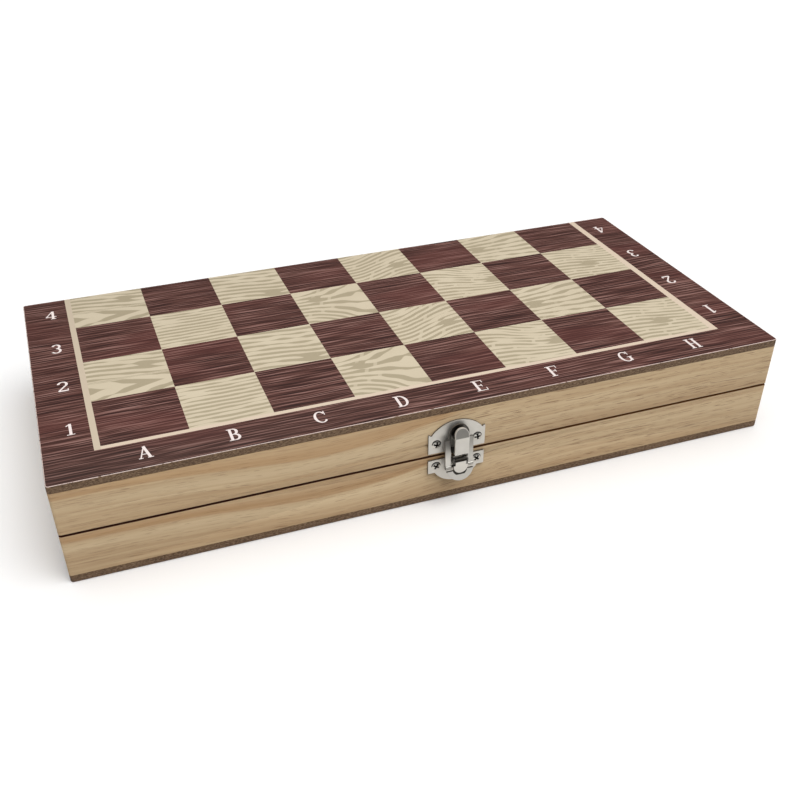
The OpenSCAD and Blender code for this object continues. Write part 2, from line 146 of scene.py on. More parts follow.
# %% Graphs: the nodes of one tree
class Graph:
    """Makes and links the nodes of one tree."""

    def __init__(self, tree):
        self.tree = tree

    def node(self, kind, inputs=None, out=0, ramp=None, **settings):
        """Makes a node. A list given for an input links each of its parts to that input."""
        node = self.tree.nodes.new(kind)
        for name, value in settings.items():
            setattr(node, name, value)
        if ramp:
            node.color_ramp.interpolation, stops = ramp
            elements = node.color_ramp.elements
            while len(elements) < len(stops):
                elements.new(1.0)
            for element, (place, colour) in zip(elements, stops):
                element.position = place
                element.color = colour
        for key, value in (inputs or {}).items():
            for part in value if isinstance(value, list) else [value]:
                if isinstance(part, Value):
                    self.tree.links.new(part.socket, node.inputs[key])
                else:
                    node.inputs[key].default_value = part
        return Value(self, node.outputs[out]) if node.outputs else None

    def split(self, vector):
        """The x, y and z of a vector."""
        node = self.node("ShaderNodeSeparateXYZ", {0: vector}).socket.node
        return [Value(self, output) for output in node.outputs]

    def place(self):
        """The x, y and z of the point, in metres in the part's own frame."""
        return self.split(self.node("ShaderNodeTexCoord", out="Object"))

    def point(self, x, y, z=0.0):
        return self.node("ShaderNodeCombineXYZ", {0: x, 1: y, 2: z})

    def noise(self, x, y, z=0.0, detail=2.0, roughness=0.5):
        return self.node("ShaderNodeTexNoise", {"Vector": self.point(x, y, z), "Scale": 1.0,
                                                "Detail": detail, "Roughness": roughness})

    def mix(self, factor, first, second):
        return self.node("ShaderNodeMix", {0: factor, 6: first, 7: second}, out=2, data_type="RGBA")

    def bump(self, height, distance, strength):
        return self.node("ShaderNodeBump", {"Height": height, "Distance": distance,
                                            "Strength": strength})


# %% [markdown]
# A colour is easiest to choose as it looks on a screen, from 0 to 255, but nodes take linear light.
# A material is described by a function that gives the inputs of its one surface shader.


# %% Colours and materials
def rgb(red, green, blue):
    """A colour given as 0 to 255 on a screen, as the linear colour that nodes take."""
    def linear(c):
        c = c / 255
        return c / 12.92 if c <= 0.04045 else ((c + 0.055) / 1.055) ** 2.4
    return (linear(red), linear(green), linear(blue), 1.0)


def grey(level):
    return (level, level, level, 1.0)


def distance(x, y):
    return (x * x + y * y).math("SQRT")


def material(name, paint, *details):
    """A material whose surface takes the inputs that paint(graph, *details) returns."""
    made = bpy.data.materials.new(name)
    made.use_nodes = True
    made.node_tree.nodes.clear()
    graph = Graph(made.node_tree)
    surface = graph.node("ShaderNodeBsdfPrincipled", paint(graph, *details))
    graph.node("ShaderNodeOutputMaterial", {"Surface": surface})
    return made


# %% [markdown]
# The print imitates two veneers. The dark one is a rosewood, which also covers the margin.
# It has fine brown-red streaks along the box, about seventeen to a square.
# The streaks are a sine wave across the grain, whose phase wanders so that no two run alike.
# Finer hairs come from a noise field squeezed across the grain, so they come out long and thin.


# %% The dark veneer: rosewood
def rosewood(g, across, along):
    """The dark veneer at a place given in squares, and the tone that its bump follows."""
    wander = (g.noise(across * 0.5, along * 0.9, 4.0, 1.0) * 0.1
              + g.noise(across * 3.0, along * 3.0, 7.0, 1.0) * 0.02)
    v = along + wander
    broad = g.noise(across * 0.3, v * 4.5, 1.0, 2.0) - 0.5
    phase = v * 17.5 + g.noise(across * 0.45, v * 7, 3.0, 1.0) * 2.8
    streak = (phase * math.tau).math("SINE")
    strength = g.noise(across * 1.0, v * 16, 8.0, 1.0).ease(0.22, 0.62)
    hair = g.noise(across * 1.5, v * 60, 5.0, 1.0) - 0.5
    tone = broad * 0.12 + streak * strength * 0.08 + hair * 0.54 + 0.495
    wood = tone.ramp((0.38, rgb(38, 12, 8)), (0.45, rgb(60, 28, 21)), (0.5, rgb(79, 45, 38)),
                     (0.55, rgb(106, 70, 62)), (0.62, rgb(142, 106, 98)))
    redder = g.noise(across * 0.5, along * 1.3, 9.0, 1.0).ease(0.48, 0.7)
    wood = g.mix(redder * 0.3, wood, rgb(106, 54, 49))
    corner = (1 - along.ease(-0.55, 0.4)) * (1 - across.ease(0.0, 5.0))
    return g.mix(corner * 0.4, wood, rgb(54, 40, 34)), tone


# %% [markdown]
# The pale veneer is drawn like a cartoon of ash: flat olive strokes that swell, taper and stop.
# Noise alone would give soft clouds, so each stroke is one band of a saw-tooth with a crisp edge.
# Tables say how the strokes lie in the squares of each file: how far they climb to the right,
# how they fan out, and where a knot swells them.
# A file's pale squares are all alike, because the print is one repeating picture.

# %% The pale veneer: ash
FILES = 8
# Each table has one number for each file, A to H. Lengths are in squares.
CLIMB = (-0.16, 0.0, -0.1, -0.05, 0.34, -0.3, 0.06, -0.17)  # of a stroke, from left to right
FAN = (0.1, 0.0, 0.05, 0.7, 0.1, -0.4, 0.3, -0.22)          # more climb towards the upper edge
KNOT_U = (0.75, -1.0, 0.78, 0.3, 0.78, 0.92, 0.14, 0.52)    # a knot's place from the left
KNOT_V = (0.72, 0.0, 0.14, 0.68, 0.4, 0.42, 0.48, 0.42)     # and from below
CHEVRON = (1.0, 0.0, 0.0, 0.0, 0.0, 0.0, 0.0, 0.0)          # 1 where the strokes fold to a V
STROKES = (9.0, 11.5, 8.5, 10.0, 10.5, 9.5, 9.0, 10.0)      # in the height of a square
CUTS = (0.0, 0.0, 0.0, 0.6, 0.7, 0.8, 0.3, 0.7)             # how clearly they are cut across


def by_file(file, table):
    """Looks a value up in a table by the number of the file."""
    low, high = min(table), max(table)
    stops = [(i / FILES, grey((level - low) / (high - low))) for i, level in enumerate(table)]
    return ((file + 0.5) / FILES).ramp(*stops, interpolation="CONSTANT") * (high - low) + low


def ash(g, across, along):
    """The pale veneer at a place given in squares."""
    file = across.math("FLOOR")
    u, v = across.math("FRACT"), along.math("FRACT")        # the place within its square
    waver = g.noise(u * 2.2 + file * 7.3, v * 2.4, 2.0, 1.0) - 0.5
    climb = by_file(file, CLIMB) + by_file(file, FAN) * (v - 0.55)
    level = v - u.ease(0.0, 1.0) * climb + waver * 0.07     # the same all along a stroke
    folded = (v - 0.24).magnitude() * 0.5 + u * 0.17 + 0.04
    chevron = by_file(file, CHEVRON) * (1 - v.ease(0.4, 0.46))
    level = level + (folded - level) * chevron
    du, dv = u - by_file(file, KNOT_U), v - by_file(file, KNOT_V)     # from the knot
    knot = ((du * du + dv * dv * 1.6) * -80).math("EXPONENT")
    lines = level * by_file(file, STROKES)
    number = lines.math("FLOOR")                            # of the stroke, for its own noise
    off_line = (lines.math("FRACT") - 0.5).magnitude() * 2  # 0 on its middle, 1 between two
    thick = g.noise(u * 2.6 + number * 3.7 + file * 5.1, number * 2.3, file, 1.0)
    reach = (thick - 0.3) * 2.4 + knot * 1.5 + chevron * 0.1
    stroke = (reach.math("MINIMUM", 0.56 + knot) - off_line).ease(-0.03, 0.12)
    cut_at = g.noise(number * 2.7, file * 3.1, 4.0, 0.0) * 1.8 - 0.4
    gap = 1 - (u - v * 0.4 + 0.2 - cut_at).magnitude().ease(0.02, 0.03)
    stroke = stroke * (1 - gap * by_file(file, CUTS) * (1 - knot.ease(0.1, 0.5)))
    tint = g.noise(across * 2, along * 2, 6.0, 1.0)
    pale = g.mix(tint, rgb(199, 185, 159), rgb(210, 197, 172))
    return g.mix(stroke * 0.95, pale, rgb(167, 154, 128))


# %% [markdown]
# The numbers of file and rank are added, and an odd or even sum picks the veneer of a square.
# A narrow border of bare paper runs round the squares, and outside it lies the dark margin.
# The panel is brown fibreboard. At its cut edge the paper shows as a thin, chipped white line.

# %% The printed faces and the edges of the panels
BORDER_LEFT, BORDER_RIGHT, BORDER_FRONT = 0.075, 0.095, 0.065     # its width, in squares


def printed(g, flip):
    """A printed face. The first square of the first file is dark if flip is 0, pale if it is 1."""
    x, y, _ = g.place()
    across, along = (x - GRID_X) / SQUARE, (y - GRID_Y) / SQUARE
    dark, tone = rosewood(g, across, along)
    pale = ash(g, across, along)
    odd = ((across.math("FLOOR") + along.math("FLOOR") + flip) * 0.5).math("FRACT") > 0.25
    on_board = (across > 0) * (across < FILES) * (along > 0)
    on_border = ((across > -BORDER_LEFT) * (across < FILES + BORDER_RIGHT)
                 * (along > -BORDER_FRONT))
    paper = g.mix(across < 0, rgb(213, 194, 173), rgb(200, 184, 162))       # darker at the left
    colour = g.mix(on_border, dark, paper)
    colour = g.mix(on_board, colour, dark)
    colour = g.mix(on_board * odd, colour, pale)
    gloss = g.noise(x * 900, y * 900, 0.0, 2.0)
    return {"Base Color": colour, "Roughness": 0.5 + gloss * 0.14, "Specular IOR Level": 0.25,
            "Normal": g.bump(tone * 0.6 + gloss * 0.4, 0.02 * MM, 0.5)}


def fibreboard(g, outer_z):
    """The panel's brown core, with the white edge of the printed paper at outer_z."""
    x, y, z = g.place()
    flecks = g.noise(x * 900, y * 900, z * 2600, 4.0, 0.7)
    clouds = g.noise(x * 60, y * 60, z * 200, 2.0)
    colour = (flecks * 0.88 + clouds * 0.12).ramp(
        (0.34, rgb(58, 40, 24)), (0.5, rgb(98, 75, 53)), (0.68, rgb(144, 119, 94)))
    depth = (z - outer_z).magnitude()
    chipped = g.noise(x * 420, y * 420, 3.0, 3.0, 0.65)
    paper = (1 - depth.ease(0.08 * MM, 0.22 * MM)) * chipped.ease(0.32, 0.46)
    colour = g.mix(paper * 0.9, colour, rgb(224, 204, 196))
    return {"Base Color": colour, "Roughness": 0.85,
            "Normal": g.bump(flecks, 0.06 * MM, 0.5)}


printed_faces = {"upper": material("printed_top", printed, 0.0),
                 "lower": material("printed_underside", printed, 1.0)}
panel_edges = {"upper": material("fibreboard_top", fibreboard, OUTER_Z["upper"]),
               "lower": material("fibreboard_underside", fibreboard, OUTER_Z["lower"])}
print("print and panel materials:", len(printed_faces) + len(panel_edges))

# %% [markdown]
# Pine is sawn along the trunk, so its rings show as long lines that sweep along each rail.
# One field, called flow, measures how far a point lies through the rings.
# A broad resin-coloured band hangs from the top of the front rails on the left, like a slack rope.
# Its lower border is crisp and the wood just below it is the palest.
# Short dark dashes are resin canals, cut open by the saw.
# The ends of the long rails show end grain, which is darker and has round rings.
# A dark brown line of painted shade runs along the outer edge of each rim, for the seam.


# %% Pine
def pine(g, direction, floor_z, height, rim_z, outer, lift, shift):
    """A rail along x or y. Its rings climb by lift, in mm, and shift makes each rail another."""
    x, y, z = g.place()
    run, depth = (x, y) if direction == "x" else (y, x)
    inset = ((depth - outer) / MM).magnitude()              # distance in from the outer face
    from_rim = ((z - rim_z) / MM).magnitude()
    run, depth, z_mm = run / MM, depth / MM, (z - floor_z) / MM
    below = height / MM - z_mm                              # depth under the rail's top edge
    sag = (run + 52) / 40
    hang = ((sag * sag * -1).math("EXPONENT") * 4.6 + 2.8) * (1 - run.ease(-25, 22))
    waver = g.noise(run * 0.012 + shift, depth * 0.1, z_mm * 0.07, 2.0) - 0.5
    flow = z_mm + hang * 0.7 - run.ease(-8, 60) * lift + waver * 2.4 + depth * 0.3

    fibre = g.noise(run * 0.02 + shift, depth * 0.3, flow * 1.1, 3.0, 0.6)
    ring = g.noise(run * 0.004 + shift, 3.0, flow * 0.4, 1.0)
    colour = (fibre * 0.5 + ring * 0.5).ramp(
        (0.34, rgb(169, 141, 106)), (0.5, rgb(184, 159, 124)), (0.64, rgb(195, 172, 137)))

    under = hang + waver - below                            # above 0 inside the resin band
    band = under.ease(-0.5, 0.3) * (1 - under.ease(0.5, 6.0) * 0.5)
    colour = g.mix(band * 0.62 * hang.ease(0.3, 2.5), colour, rgb(164, 126, 84))
    glow = (1 - (under + 3.5).magnitude().ease(0.5, 4.0)) * hang.ease(1.0, 4.0)
    colour = g.mix(glow * 0.5, colour, rgb(196, 174, 140))
    colour = g.mix((1 - z_mm.ease(0.0, 8.0)) * 0.42, colour, rgb(158, 126, 90))

    contour = (g.noise(run * 0.01 + shift, depth * 0.1, flow * 1.9, 1.0) - 0.5).magnitude()
    late = (1 - contour.ease(0.0, 0.035)) * run.ease(-20, 30)       # a thin line of late wood
    colour = g.mix(late * 0.14, colour, rgb(144, 110, 74))
    long_canal = g.noise(run * 0.085 + shift, depth * 0.5, (flow + run * 0.035) * 2.2, 1.0)
    short_canal = g.noise(run * 0.13 + shift, depth * 0.5, flow * 4.2, 1.0)
    canal = long_canal.ease(0.69, 0.74).most(short_canal.ease(0.64, 0.69) * 0.9)
    colour = g.mix(canal * (0.42 + run.ease(-40, 20) * 0.28), colour, rgb(104, 70, 40))

    # painted shade: the rim's outer edge is painted dark brown, darkest at the left, for the seam
    painted_dark = (1 - from_rim.ease(0.05, 0.15)) * (1 - inset.ease(1.0, 2.2))
    shade_paint = g.mix(run.ease(-60, 70), rgb(56, 12, 0), rgb(96, 58, 24))
    colour = g.mix(painted_dark * 0.98, colour, shade_paint)
    relief = fibre * 0.6 + late * 0.3 - canal * 0.5
    return {"Base Color": colour, "Roughness": 0.55 + fibre * 0.2 + painted_dark * 0.3,
            "Specular IOR Level": 0.35, "Normal": g.bump(relief, 0.05 * MM, 0.6)}


def end_grain(g):
    """The sawn end of a rail, with rings about the middle of the trunk."""
    x, y, z = g.place()
    away = distance(y - 30 * MM, z + 50 * MM)
    ring = (away / (2.1 * MM) + g.noise(y * 80, z * 80)).math("FRACT")
    pores = g.noise(x * 1500, y * 2500, z * 2500, 2.0)
    colour = ring.ramp((0.0, rgb(190, 160, 120)), (0.7, rgb(172, 138, 98)),
                       (0.95, rgb(140, 104, 68)), (1.0, rgb(184, 152, 112)))
    colour = g.mix(pores.ease(0.55, 0.7) * 0.35, colour, rgb(120, 90, 60))
    return {"Base Color": colour, "Roughness": 0.8, "Normal": g.bump(pores, 0.05 * MM, 0.7)}


end_wood = material("pine_end_grain", end_grain)
print("end grain made of", len(end_wood.node_tree.nodes), "nodes")

# %% [markdown]
# Nickel is bright in the open. Where shade falls, or where it mirrors the dark room, its colour
# is painted dark: painted shade and painted dark reflections, which could be painted by hand.
# Here a few distances from the latch's middle place them: in the hook's hollow, at the loop's head,
# on the barrel of the lever and round its tongue.
# Each pressed piece therefore has a small function of its own, which returns 0 to 1 for painted
# shade.


# %% Nickel and its painted shade
def nickel(g, dullness, painted_dark=None, metallic=1.0):
    """Nickel plate, darkened by painted shade. The shade function gets x, out and up, in mm from
    the latch's middle, and the spots.
    """
    x, y, z = g.place()
    brushed = g.noise(x * 900, y * 900, z * 900, 3.0, 0.65)
    spots = g.noise(x * 260, y * 260, z * 260, 2.0)
    # the painted shade of the screws comes in as an attribute
    painted_shading = g.node("ShaderNodeAttribute", {}, out="Fac", attribute_name="painted_shading")
    if painted_dark:
        painted_shading = painted_shading.most(painted_dark((x - LATCH_X) / MM, (y - RAIL_Y) / -MM, (z - SEAM_Z) / MM, spots))
    colour = g.mix(spots, rgb(192, 188, 180), rgb(208, 204, 196))
    # painted shade: where the shade amount is high, the nickel is painted nearly black
    colour = g.mix(painted_shading, colour, rgb(30, 25, 20))
    return {"Base Color": colour, "Metallic": metallic, "Roughness": dullness + brushed * 0.1,
            "Normal": g.bump(brushed * 0.7 + spots * 0.3, 0.004 * MM, 0.4)}


# Places on the latch, all in mm: how far out of the rail, and up from the seam.
PLATE_FRONT = 0.95                      # out: what stands further is bent from its plate
HOOK_BACK, LIP_BACK, LIP_LEAN = 5.1, 4.6, 0.31      # out: the hook, its lip, and how it leans
LIP_LOW, LIP_ARCH, LIP_R = 9.6, 10.65, 2.62         # up: the lip, its arch and its inner radius
HEAD_LOW, HEAD_FULL = 7.8, 8.6          # up: where the loop's head begins
ROLL_TOP, ROLL_LOW = -3.2, -4.6         # up: the rolled ends of the loop's arms
BARREL_LOW = -1.35                      # up: the lever above this is its barrel
TONGUE_UP, SLOT_R, SLOT_FRONT = -4.6, 3.15, 5.3     # the slot round the lever's tongue


def keeper_painted_shading(x, out, up, spots):
    """Painted shade in the hollow behind the hook, and a painted dark reflection on its lip, inside
    its bright rim.
    """
    lean = (up - LIP_LOW).most(0.0) * LIP_LEAN
    hollow = (out > PLATE_FRONT) * (out + lean < HOOK_BACK)
    inside = distance(x, (up - LIP_ARCH).most(0.0)) < LIP_R
    lip = (up > LIP_LOW + 0.02) * (out > LIP_BACK) * inside
    return (hollow * 0.9).most(lip * (0.5 + spots * 0.16))


def base_painted_shading(x, out, up, spots):
    """All that is rolled out of the base plate, to hold the lever, is painted dark as shade."""
    return (out > PLATE_FRONT) * (0.85 + spots * 0.1)


def loop_painted_shading(x, out, up, spots):
    """A painted dark reflection makes the loop's head nearly black, painted shading darkens its
    arms towards it, above all the left, and dulls the highlight on its rolled ends.
    """
    head = up.ease(HEAD_LOW, HEAD_FULL) * (0.72 + spots * 0.3)
    rolled_ends = (up < ROLL_LOW) * 0.5 + (up < ROLL_TOP) * 0.35
    arms = (up + spots * 1.5).ease(-1.0, 8.0) * (0.38 + (x < 0) * 0.44) + (x > 0) * 0.16
    return head.most(rolled_ends).most(arms)


def lever_painted_shading(x, out, up, spots):
    """The barrel is painted black as shade under the hook, and so is the slot round the tongue."""
    slot = (distance(x, up - TONGUE_UP) < SLOT_R) * (out < SLOT_FRONT)
    return ((up > BARREL_LOW) * 0.97).most(slot * 0.93)


bright_nickel = material("nickel_plate", nickel, 0.24)
# The cut edges are duller, and painted half dark as shade on the faces that look sideways, up or
# down.
cut_nickel = material("nickel_cut_edge", nickel, 0.4, lambda x, out, up, spots: spots * 0.3 + 0.5)
# The pins are painted dark as shade, where they sit inside their barrels.
pin_nickel = material("nickel_pin", nickel, 0.3, lambda x, out, up, spots: spots * 0.2 + 0.7)
nickel_of = {"latch_keeper_plate": material("nickel_keeper", nickel, 0.42, keeper_painted_shading, 0.7),
             "latch_base_plate": material("nickel_base", nickel, 0.42, base_painted_shading, 0.7),
             "latch_loop": material("nickel_loop", nickel, 0.26, loop_painted_shading),
             "latch_lever": material("nickel_lever", nickel, 0.28, lever_painted_shading)}
print("pieces of the latch with their own nickel:", len(nickel_of))

# %% [markdown]
# The chessmen are a pale and a stained hardwood. Rings are circles about the trunk's axis, which
# passes outside most of the men, so a man shows them as long, slightly curved lines.
# A thin varnish makes the men glossier than the bare pine. The ink of the coordinates is dull.


# %% Woods of the chessmen, and ink
def turned_wood(g, light, dark, line):
    """A turned hardwood: its light and dark grain and the line where each ring ends."""
    x, y, z = g.place()
    waver = g.noise(x * 60, y * 12, z * 60, 2.0)
    grain = g.noise(x * 700, y * 45, z * 700, 3.0, 0.6)
    ring = (distance(x, z) / (2.4 * MM) + waver * 3).math("FRACT").ease(0.6, 1.0)
    colour = g.mix(grain.ease(0.35, 0.65), dark, light)
    colour = g.mix(ring * 0.4, colour, line)
    return {"Base Color": colour, "Roughness": 0.32 + grain * 0.14, "Coat Weight": 0.25,
            "Normal": g.bump(grain, 0.02 * MM, 0.4)}


def ink(g):
    """White ink that lets a little of the paper through."""
    x, y, _ = g.place()
    speckle = g.noise(x * 1600, y * 1600, 0.0, 3.0)
    return {"Base Color": g.mix(speckle, rgb(226, 208, 204), rgb(252, 243, 238)),
            "Roughness": 0.5}


wood_of = {"light": material("light_wood", turned_wood,
                             rgb(226, 192, 140), rgb(206, 168, 112), rgb(184, 142, 90)),
           "dark": material("dark_wood", turned_wood,
                            rgb(112, 62, 40), rgb(78, 40, 26), rgb(52, 26, 18))}
white_ink = material("white_ink", ink)
print("woods of the men:", len(wood_of))

# %% [markdown]
# A CAD solid has knife-sharp edges, and no real edge is one.
# Each visible solid is copied, its triangles are joined into whole faces, and its edges rounded.
# The rounding is a bevel a few tenths of a millimetre wide, which catches a thin line of light.


# %% Copies of the CAD solids with rounded edges
def solid_copy(node):
    """A CAD solid as a new mesh of whole faces, in place of its triangles."""
    bm = bmesh.new()
    bm.from_mesh(frame["nodes"][node].data)
    bmesh.ops.remove_doubles(bm, verts=bm.verts, dist=0.002 * MM)
    bmesh.ops.dissolve_limit(bm, angle_limit=math.radians(1), verts=bm.verts, edges=bm.edges)
    return bm


def round_edges(bm, width, keep=None):
    """Bevels the sharp edges, or those of them that keep(edge) picks."""
    sharp = [e for e in bm.edges if len(e.link_faces) == 2
             and e.calc_face_angle() > math.radians(35) and (keep is None or keep(e))]
    bmesh.ops.bevel(bm, geom=sharp, offset=width, offset_type="OFFSET", segments=2,
                    profile=0.5, affect="EDGES", clamp_overlap=True)


def finished(name, bm, body, materials, replaces=(), sharp=32):
    """Makes a piece of the scene that rides on a body. Edges over sharp degrees stay crisp."""
    mesh = bpy.data.meshes.new(name)
    bm.normal_update()
    bm.to_mesh(mesh)
    bm.free()
    mesh.shade_smooth()
    mesh.set_sharp_from_angle(angle=math.radians(sharp))
    for m in materials:
        mesh.materials.append(m)
    piece = bpy.data.objects.new(name, mesh)
    bpy.context.scene.collection.objects.link(piece)
    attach(piece, body)
    if replaces:
        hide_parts(*replaces)
    return piece


# %% [markdown]
# A panel is a thin board of brown fibre with printed paper glued on its outer face.
# Printed face and cut edge are one solid, so each face of its mesh is given one of two materials.
# The printed face is set back by the thickness of the ink, so the letters don't stand proud.

# %% Printed panels
INK_T = 0.03 * MM                                   # thickness of the ink of the coordinates
SAME_PLANE = 0.01 * MM                              # what is closer than this lies in one plane
for half, outward in OUTWARD.items():
    bm = solid_copy(f"{half}_panel")
    outer = OUTER_Z[half]
    for vert in bm.verts:
        if abs(vert.co.z - outer) < SAME_PLANE:
            vert.co.z -= outward * INK_T
    round_edges(bm, 0.3 * MM)
    bm.normal_update()
    for face in bm.faces:
        near_face = abs(face.calc_center_median().z - outer) < 0.1 * MM
        face.material_index = int(near_face and face.normal.z * outward > 0.98)
    finished(f"{half}_printed_panel", bm, f"{half}_half",
             [panel_edges[half], printed_faces[half]], [f"{half}_panel"])
print("panels made")

# %% [markdown]
# The rails are sawn pine, butted at the corners: the long ones run through and show their ends.
# Where the two rims meet, the edge is barely broken and painted dark as shade, so the closed box
# shows a narrow dark seam.
# The other long edges are sanded rounder. Every rail gets a stretch of grain of its own.


# %% Rails
def from_rim(edge, rim_z):
    """How far the two ends of an edge lie from the rim."""
    return [abs(vert.co.z - rim_z) for vert in edge.verts]


RAILS = {"front": "x", "back": "x", "left": "y", "right": "y"}
RING_LIFT = {"upper": 0.5, "lower": 4.0}            # mm that the rings climb to the right
for half in OUTWARD:
    for shift, (side, direction) in enumerate(RAILS.items()):
        node, lift = f"{half}_{side}_rail", RING_LIFT[half]
        low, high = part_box(node)
        rim_z = high.z if half == "lower" else low.z
        outer = {"front": low.y, "back": high.y, "left": low.x, "right": high.x}[side]
        wood = material(f"pine_{half}_{side}", pine, direction, low.z, high.z - low.z, rim_z,
                        outer, lift, shift * 3.7 + lift)
        bm = solid_copy(node)
        round_edges(bm, 0.08 * MM, lambda edge: max(from_rim(edge, rim_z)) < SAME_PLANE)
        round_edges(bm, 0.35 * MM, lambda edge: edge.calc_length() > 12 * MM
                    and min(from_rim(edge, rim_z)) > 0.5 * MM)
        bm.normal_update()
        for face in bm.faces:
            end = abs(face.normal.x) > 0.95 and face.calc_area() > 20 * MM * MM
            face.material_index = int(direction == "x" and end)
        finished(f"{node}_wood", bm, f"{half}_half", [wood, end_wood], [node])
print("rails made")

# %% [markdown]
# The coordinates are white letters and digits with serifs, laid out as on any chess board.
# A font could give them, but its shapes would be the work of its maker.
# So each is drawn from a few strokes, as a sign painter builds a letter: stems thick, joins thin.
# A straight stroke runs between two points. A bow follows an ellipse and swells at its sides.


# %% Strokes, letters and digits
THICK, THIN, SERIF = 0.16, 0.07, 0.055              # widths, in heights of a letter


def stroke(x0, y0, x1, y1, width):
    """The pairs of points on the two sides of a straight stroke."""
    ahead = Vector((x1 - x0, y1 - y0)).normalized()
    side = Vector((-ahead.y, ahead.x)) * width / 2
    a, b = Vector((x0, y0)), Vector((x1, y1))
    return [(a + side, a - side), (b + side, b - side)]


def bow(cx, cy, rx, ry, start, end, steps=22):
    """The same for an arc of an ellipse, from start to end in degrees."""
    pairs = []
    for i in range(steps + 1):
        angle = math.radians(start + (end - start) * i / steps)
        across = THIN + (THICK - THIN) * abs(math.cos(angle)) ** 1.6
        ray = Vector((math.cos(angle), math.sin(angle)))
        at = Vector((cx + rx * ray.x, cy + ry * ray.y))
        pairs.append((at + ray * across / 2, at - ray * across / 2))
    return pairs


def stem(x, low=0.0, high=1.0, width=THICK):
    return stroke(x, low, x, high, width)


def serif(x0, x1, y, width=SERIF):
    return stroke(x0, y, x1, y, width)


FOOT, HEAD = SERIF / 2, 1 - SERIF / 2
GLYPHS = {
    "A": [stroke(0.1, 0, 0.39, 1, THIN), stroke(0.37, 1, 0.64, 0, THICK), serif(0.2, 0.55, 0.34),
          serif(0.0, 0.24, FOOT), serif(0.48, 0.8, FOOT)],
    "B": [stem(0.18), bow(0.34, 0.745, 0.2, 0.222, -90, 90),
          bow(0.36, 0.27, 0.25, 0.238, -90, 90), serif(0.0, 0.36, HEAD), serif(0.1, 0.38, 0.51),
          serif(0.0, 0.38, FOOT)],
    "C": [bow(0.42, 0.5, 0.32, 0.47, 40, 322), stroke(0.7, 0.66, 0.7, 1, SERIF)],
    "D": [stem(0.18), bow(0.3, 0.5, 0.38, 0.472, -90, 90), serif(0.0, 0.32, HEAD),
          serif(0.0, 0.32, FOOT)],
    "E": [stem(0.2), serif(0.02, 0.68, HEAD), serif(0.1, 0.52, 0.51), serif(0.02, 0.72, FOOT),
          stem(0.67, 0.78, 1, SERIF), stem(0.52, 0.4, 0.62, SERIF), stem(0.71, 0, 0.24, SERIF)],
    "F": [stem(0.2), serif(0.02, 0.7, HEAD), serif(0.1, 0.52, 0.51), serif(0.02, 0.4, FOOT),
          stem(0.69, 0.76, 1, SERIF), stem(0.52, 0.4, 0.62, SERIF)],
    "G": [bow(0.42, 0.5, 0.32, 0.47, 42, 318), stem(0.7, 0.68, 1, SERIF),
          stem(0.68, 0.06, 0.44, 0.14), serif(0.5, 0.82, 0.44)],
    "H": [stem(0.18), stem(0.62), serif(0.02, 0.34, HEAD), serif(0.46, 0.78, HEAD),
          serif(0.1, 0.7, 0.51), serif(0.02, 0.34, FOOT), serif(0.46, 0.78, FOOT)],
    "1": [stem(0.4), stroke(0.18, 0.82, 0.4, 0.97, THIN), serif(0.18, 0.62, FOOT)],
    "2": [bow(0.38, 0.73, 0.24, 0.23, 175, -42), stroke(0.58, 0.6, 0.14, 0.09, 0.1),
          serif(0.1, 0.68, 0.06, 0.12), stem(0.67, 0.04, 0.25, SERIF)],
    "3": [bow(0.38, 0.74, 0.21, 0.22, 160, -90), bow(0.36, 0.28, 0.25, 0.25, 90, -155)],
    "4": [stroke(0.5, 0.98, 0.08, 0.3, THIN), serif(0.04, 0.74, 0.29, THIN), stem(0.52),
          serif(0.36, 0.7, FOOT)],
    "5": [serif(0.18, 0.62, 0.93, 0.13), stem(0.2, 0.52, 0.95, THIN),
          bow(0.36, 0.31, 0.26, 0.28, 125, -150)],
    "6": [bow(0.4, 0.3, 0.24, 0.27, 0, 360), bow(0.62, 0.36, 0.46, 0.6, 95, 185)],
    "7": [serif(0.1, 0.68, 0.93, 0.13), stroke(0.64, 0.9, 0.32, 0, 0.14),
          stem(0.11, 0.76, 0.97, SERIF)],
    "8": [bow(0.4, 0.75, 0.19, 0.21, 0, 360), bow(0.4, 0.28, 0.24, 0.25, 0, 360)],
}
print("letters and digits drawn:", len(GLYPHS))

# %% [markdown]
# The strokes become closed slivers of ink, rooted in the paper and no higher than the CAD panel.
# Each is a hair higher than the last, so where two cross, their tops don't lie in one plane.
# Every digit stands at both ends of its rank, once for each player.
# Both rows of letters are upright for the player at the first rank.


# %% Coordinates
GLYPH_H, GLYPH_W = 0.24 * SQUARE, 0.205 * SQUARE
INK_STEP = 0.0012 * MM                              # from one stroke's top to the next one's


def add_glyph(bm, glyph, x, y, turned, outward, base_z):
    """Adds one letter with its middle at x, y, in squares from the corner of the grid.

    outward is 1 on the top and -1 on the underside, and base_z is the paper that it stands on.
    """
    spin = -1 if turned else 1
    bottom = base_z - outward * INK_T
    for i, pairs in enumerate(GLYPHS[glyph]):
        top = base_z + outward * (INK_T - INK_STEP * (len(GLYPHS[glyph]) - i))
        rows = []
        for pair in pairs:
            row = []
            for p in pair:                  # mirrored on the underside, which is seen from below
                px = GRID_X + x * SQUARE + spin * outward * (p.x - 0.4) * GLYPH_W
                py = GRID_Y + y * SQUARE + spin * (p.y - 0.5) * GLYPH_H
                row += [bm.verts.new((px, py, top)), bm.verts.new((px, py, bottom))]
            rows.append(row)
        for (a, a_low, b, b_low), (c, c_low, d, d_low) in zip(rows, rows[1:]):
            for corners in ((a, b, d, c), (a_low, c_low, d_low, b_low), (a, c, c_low, a_low),
                            (b, b_low, d_low, d)):
                bm.faces.new(corners)
        for a, a_low, b, b_low in (rows[0], rows[-1]):
            bm.faces.new((a, a_low, b_low, b))


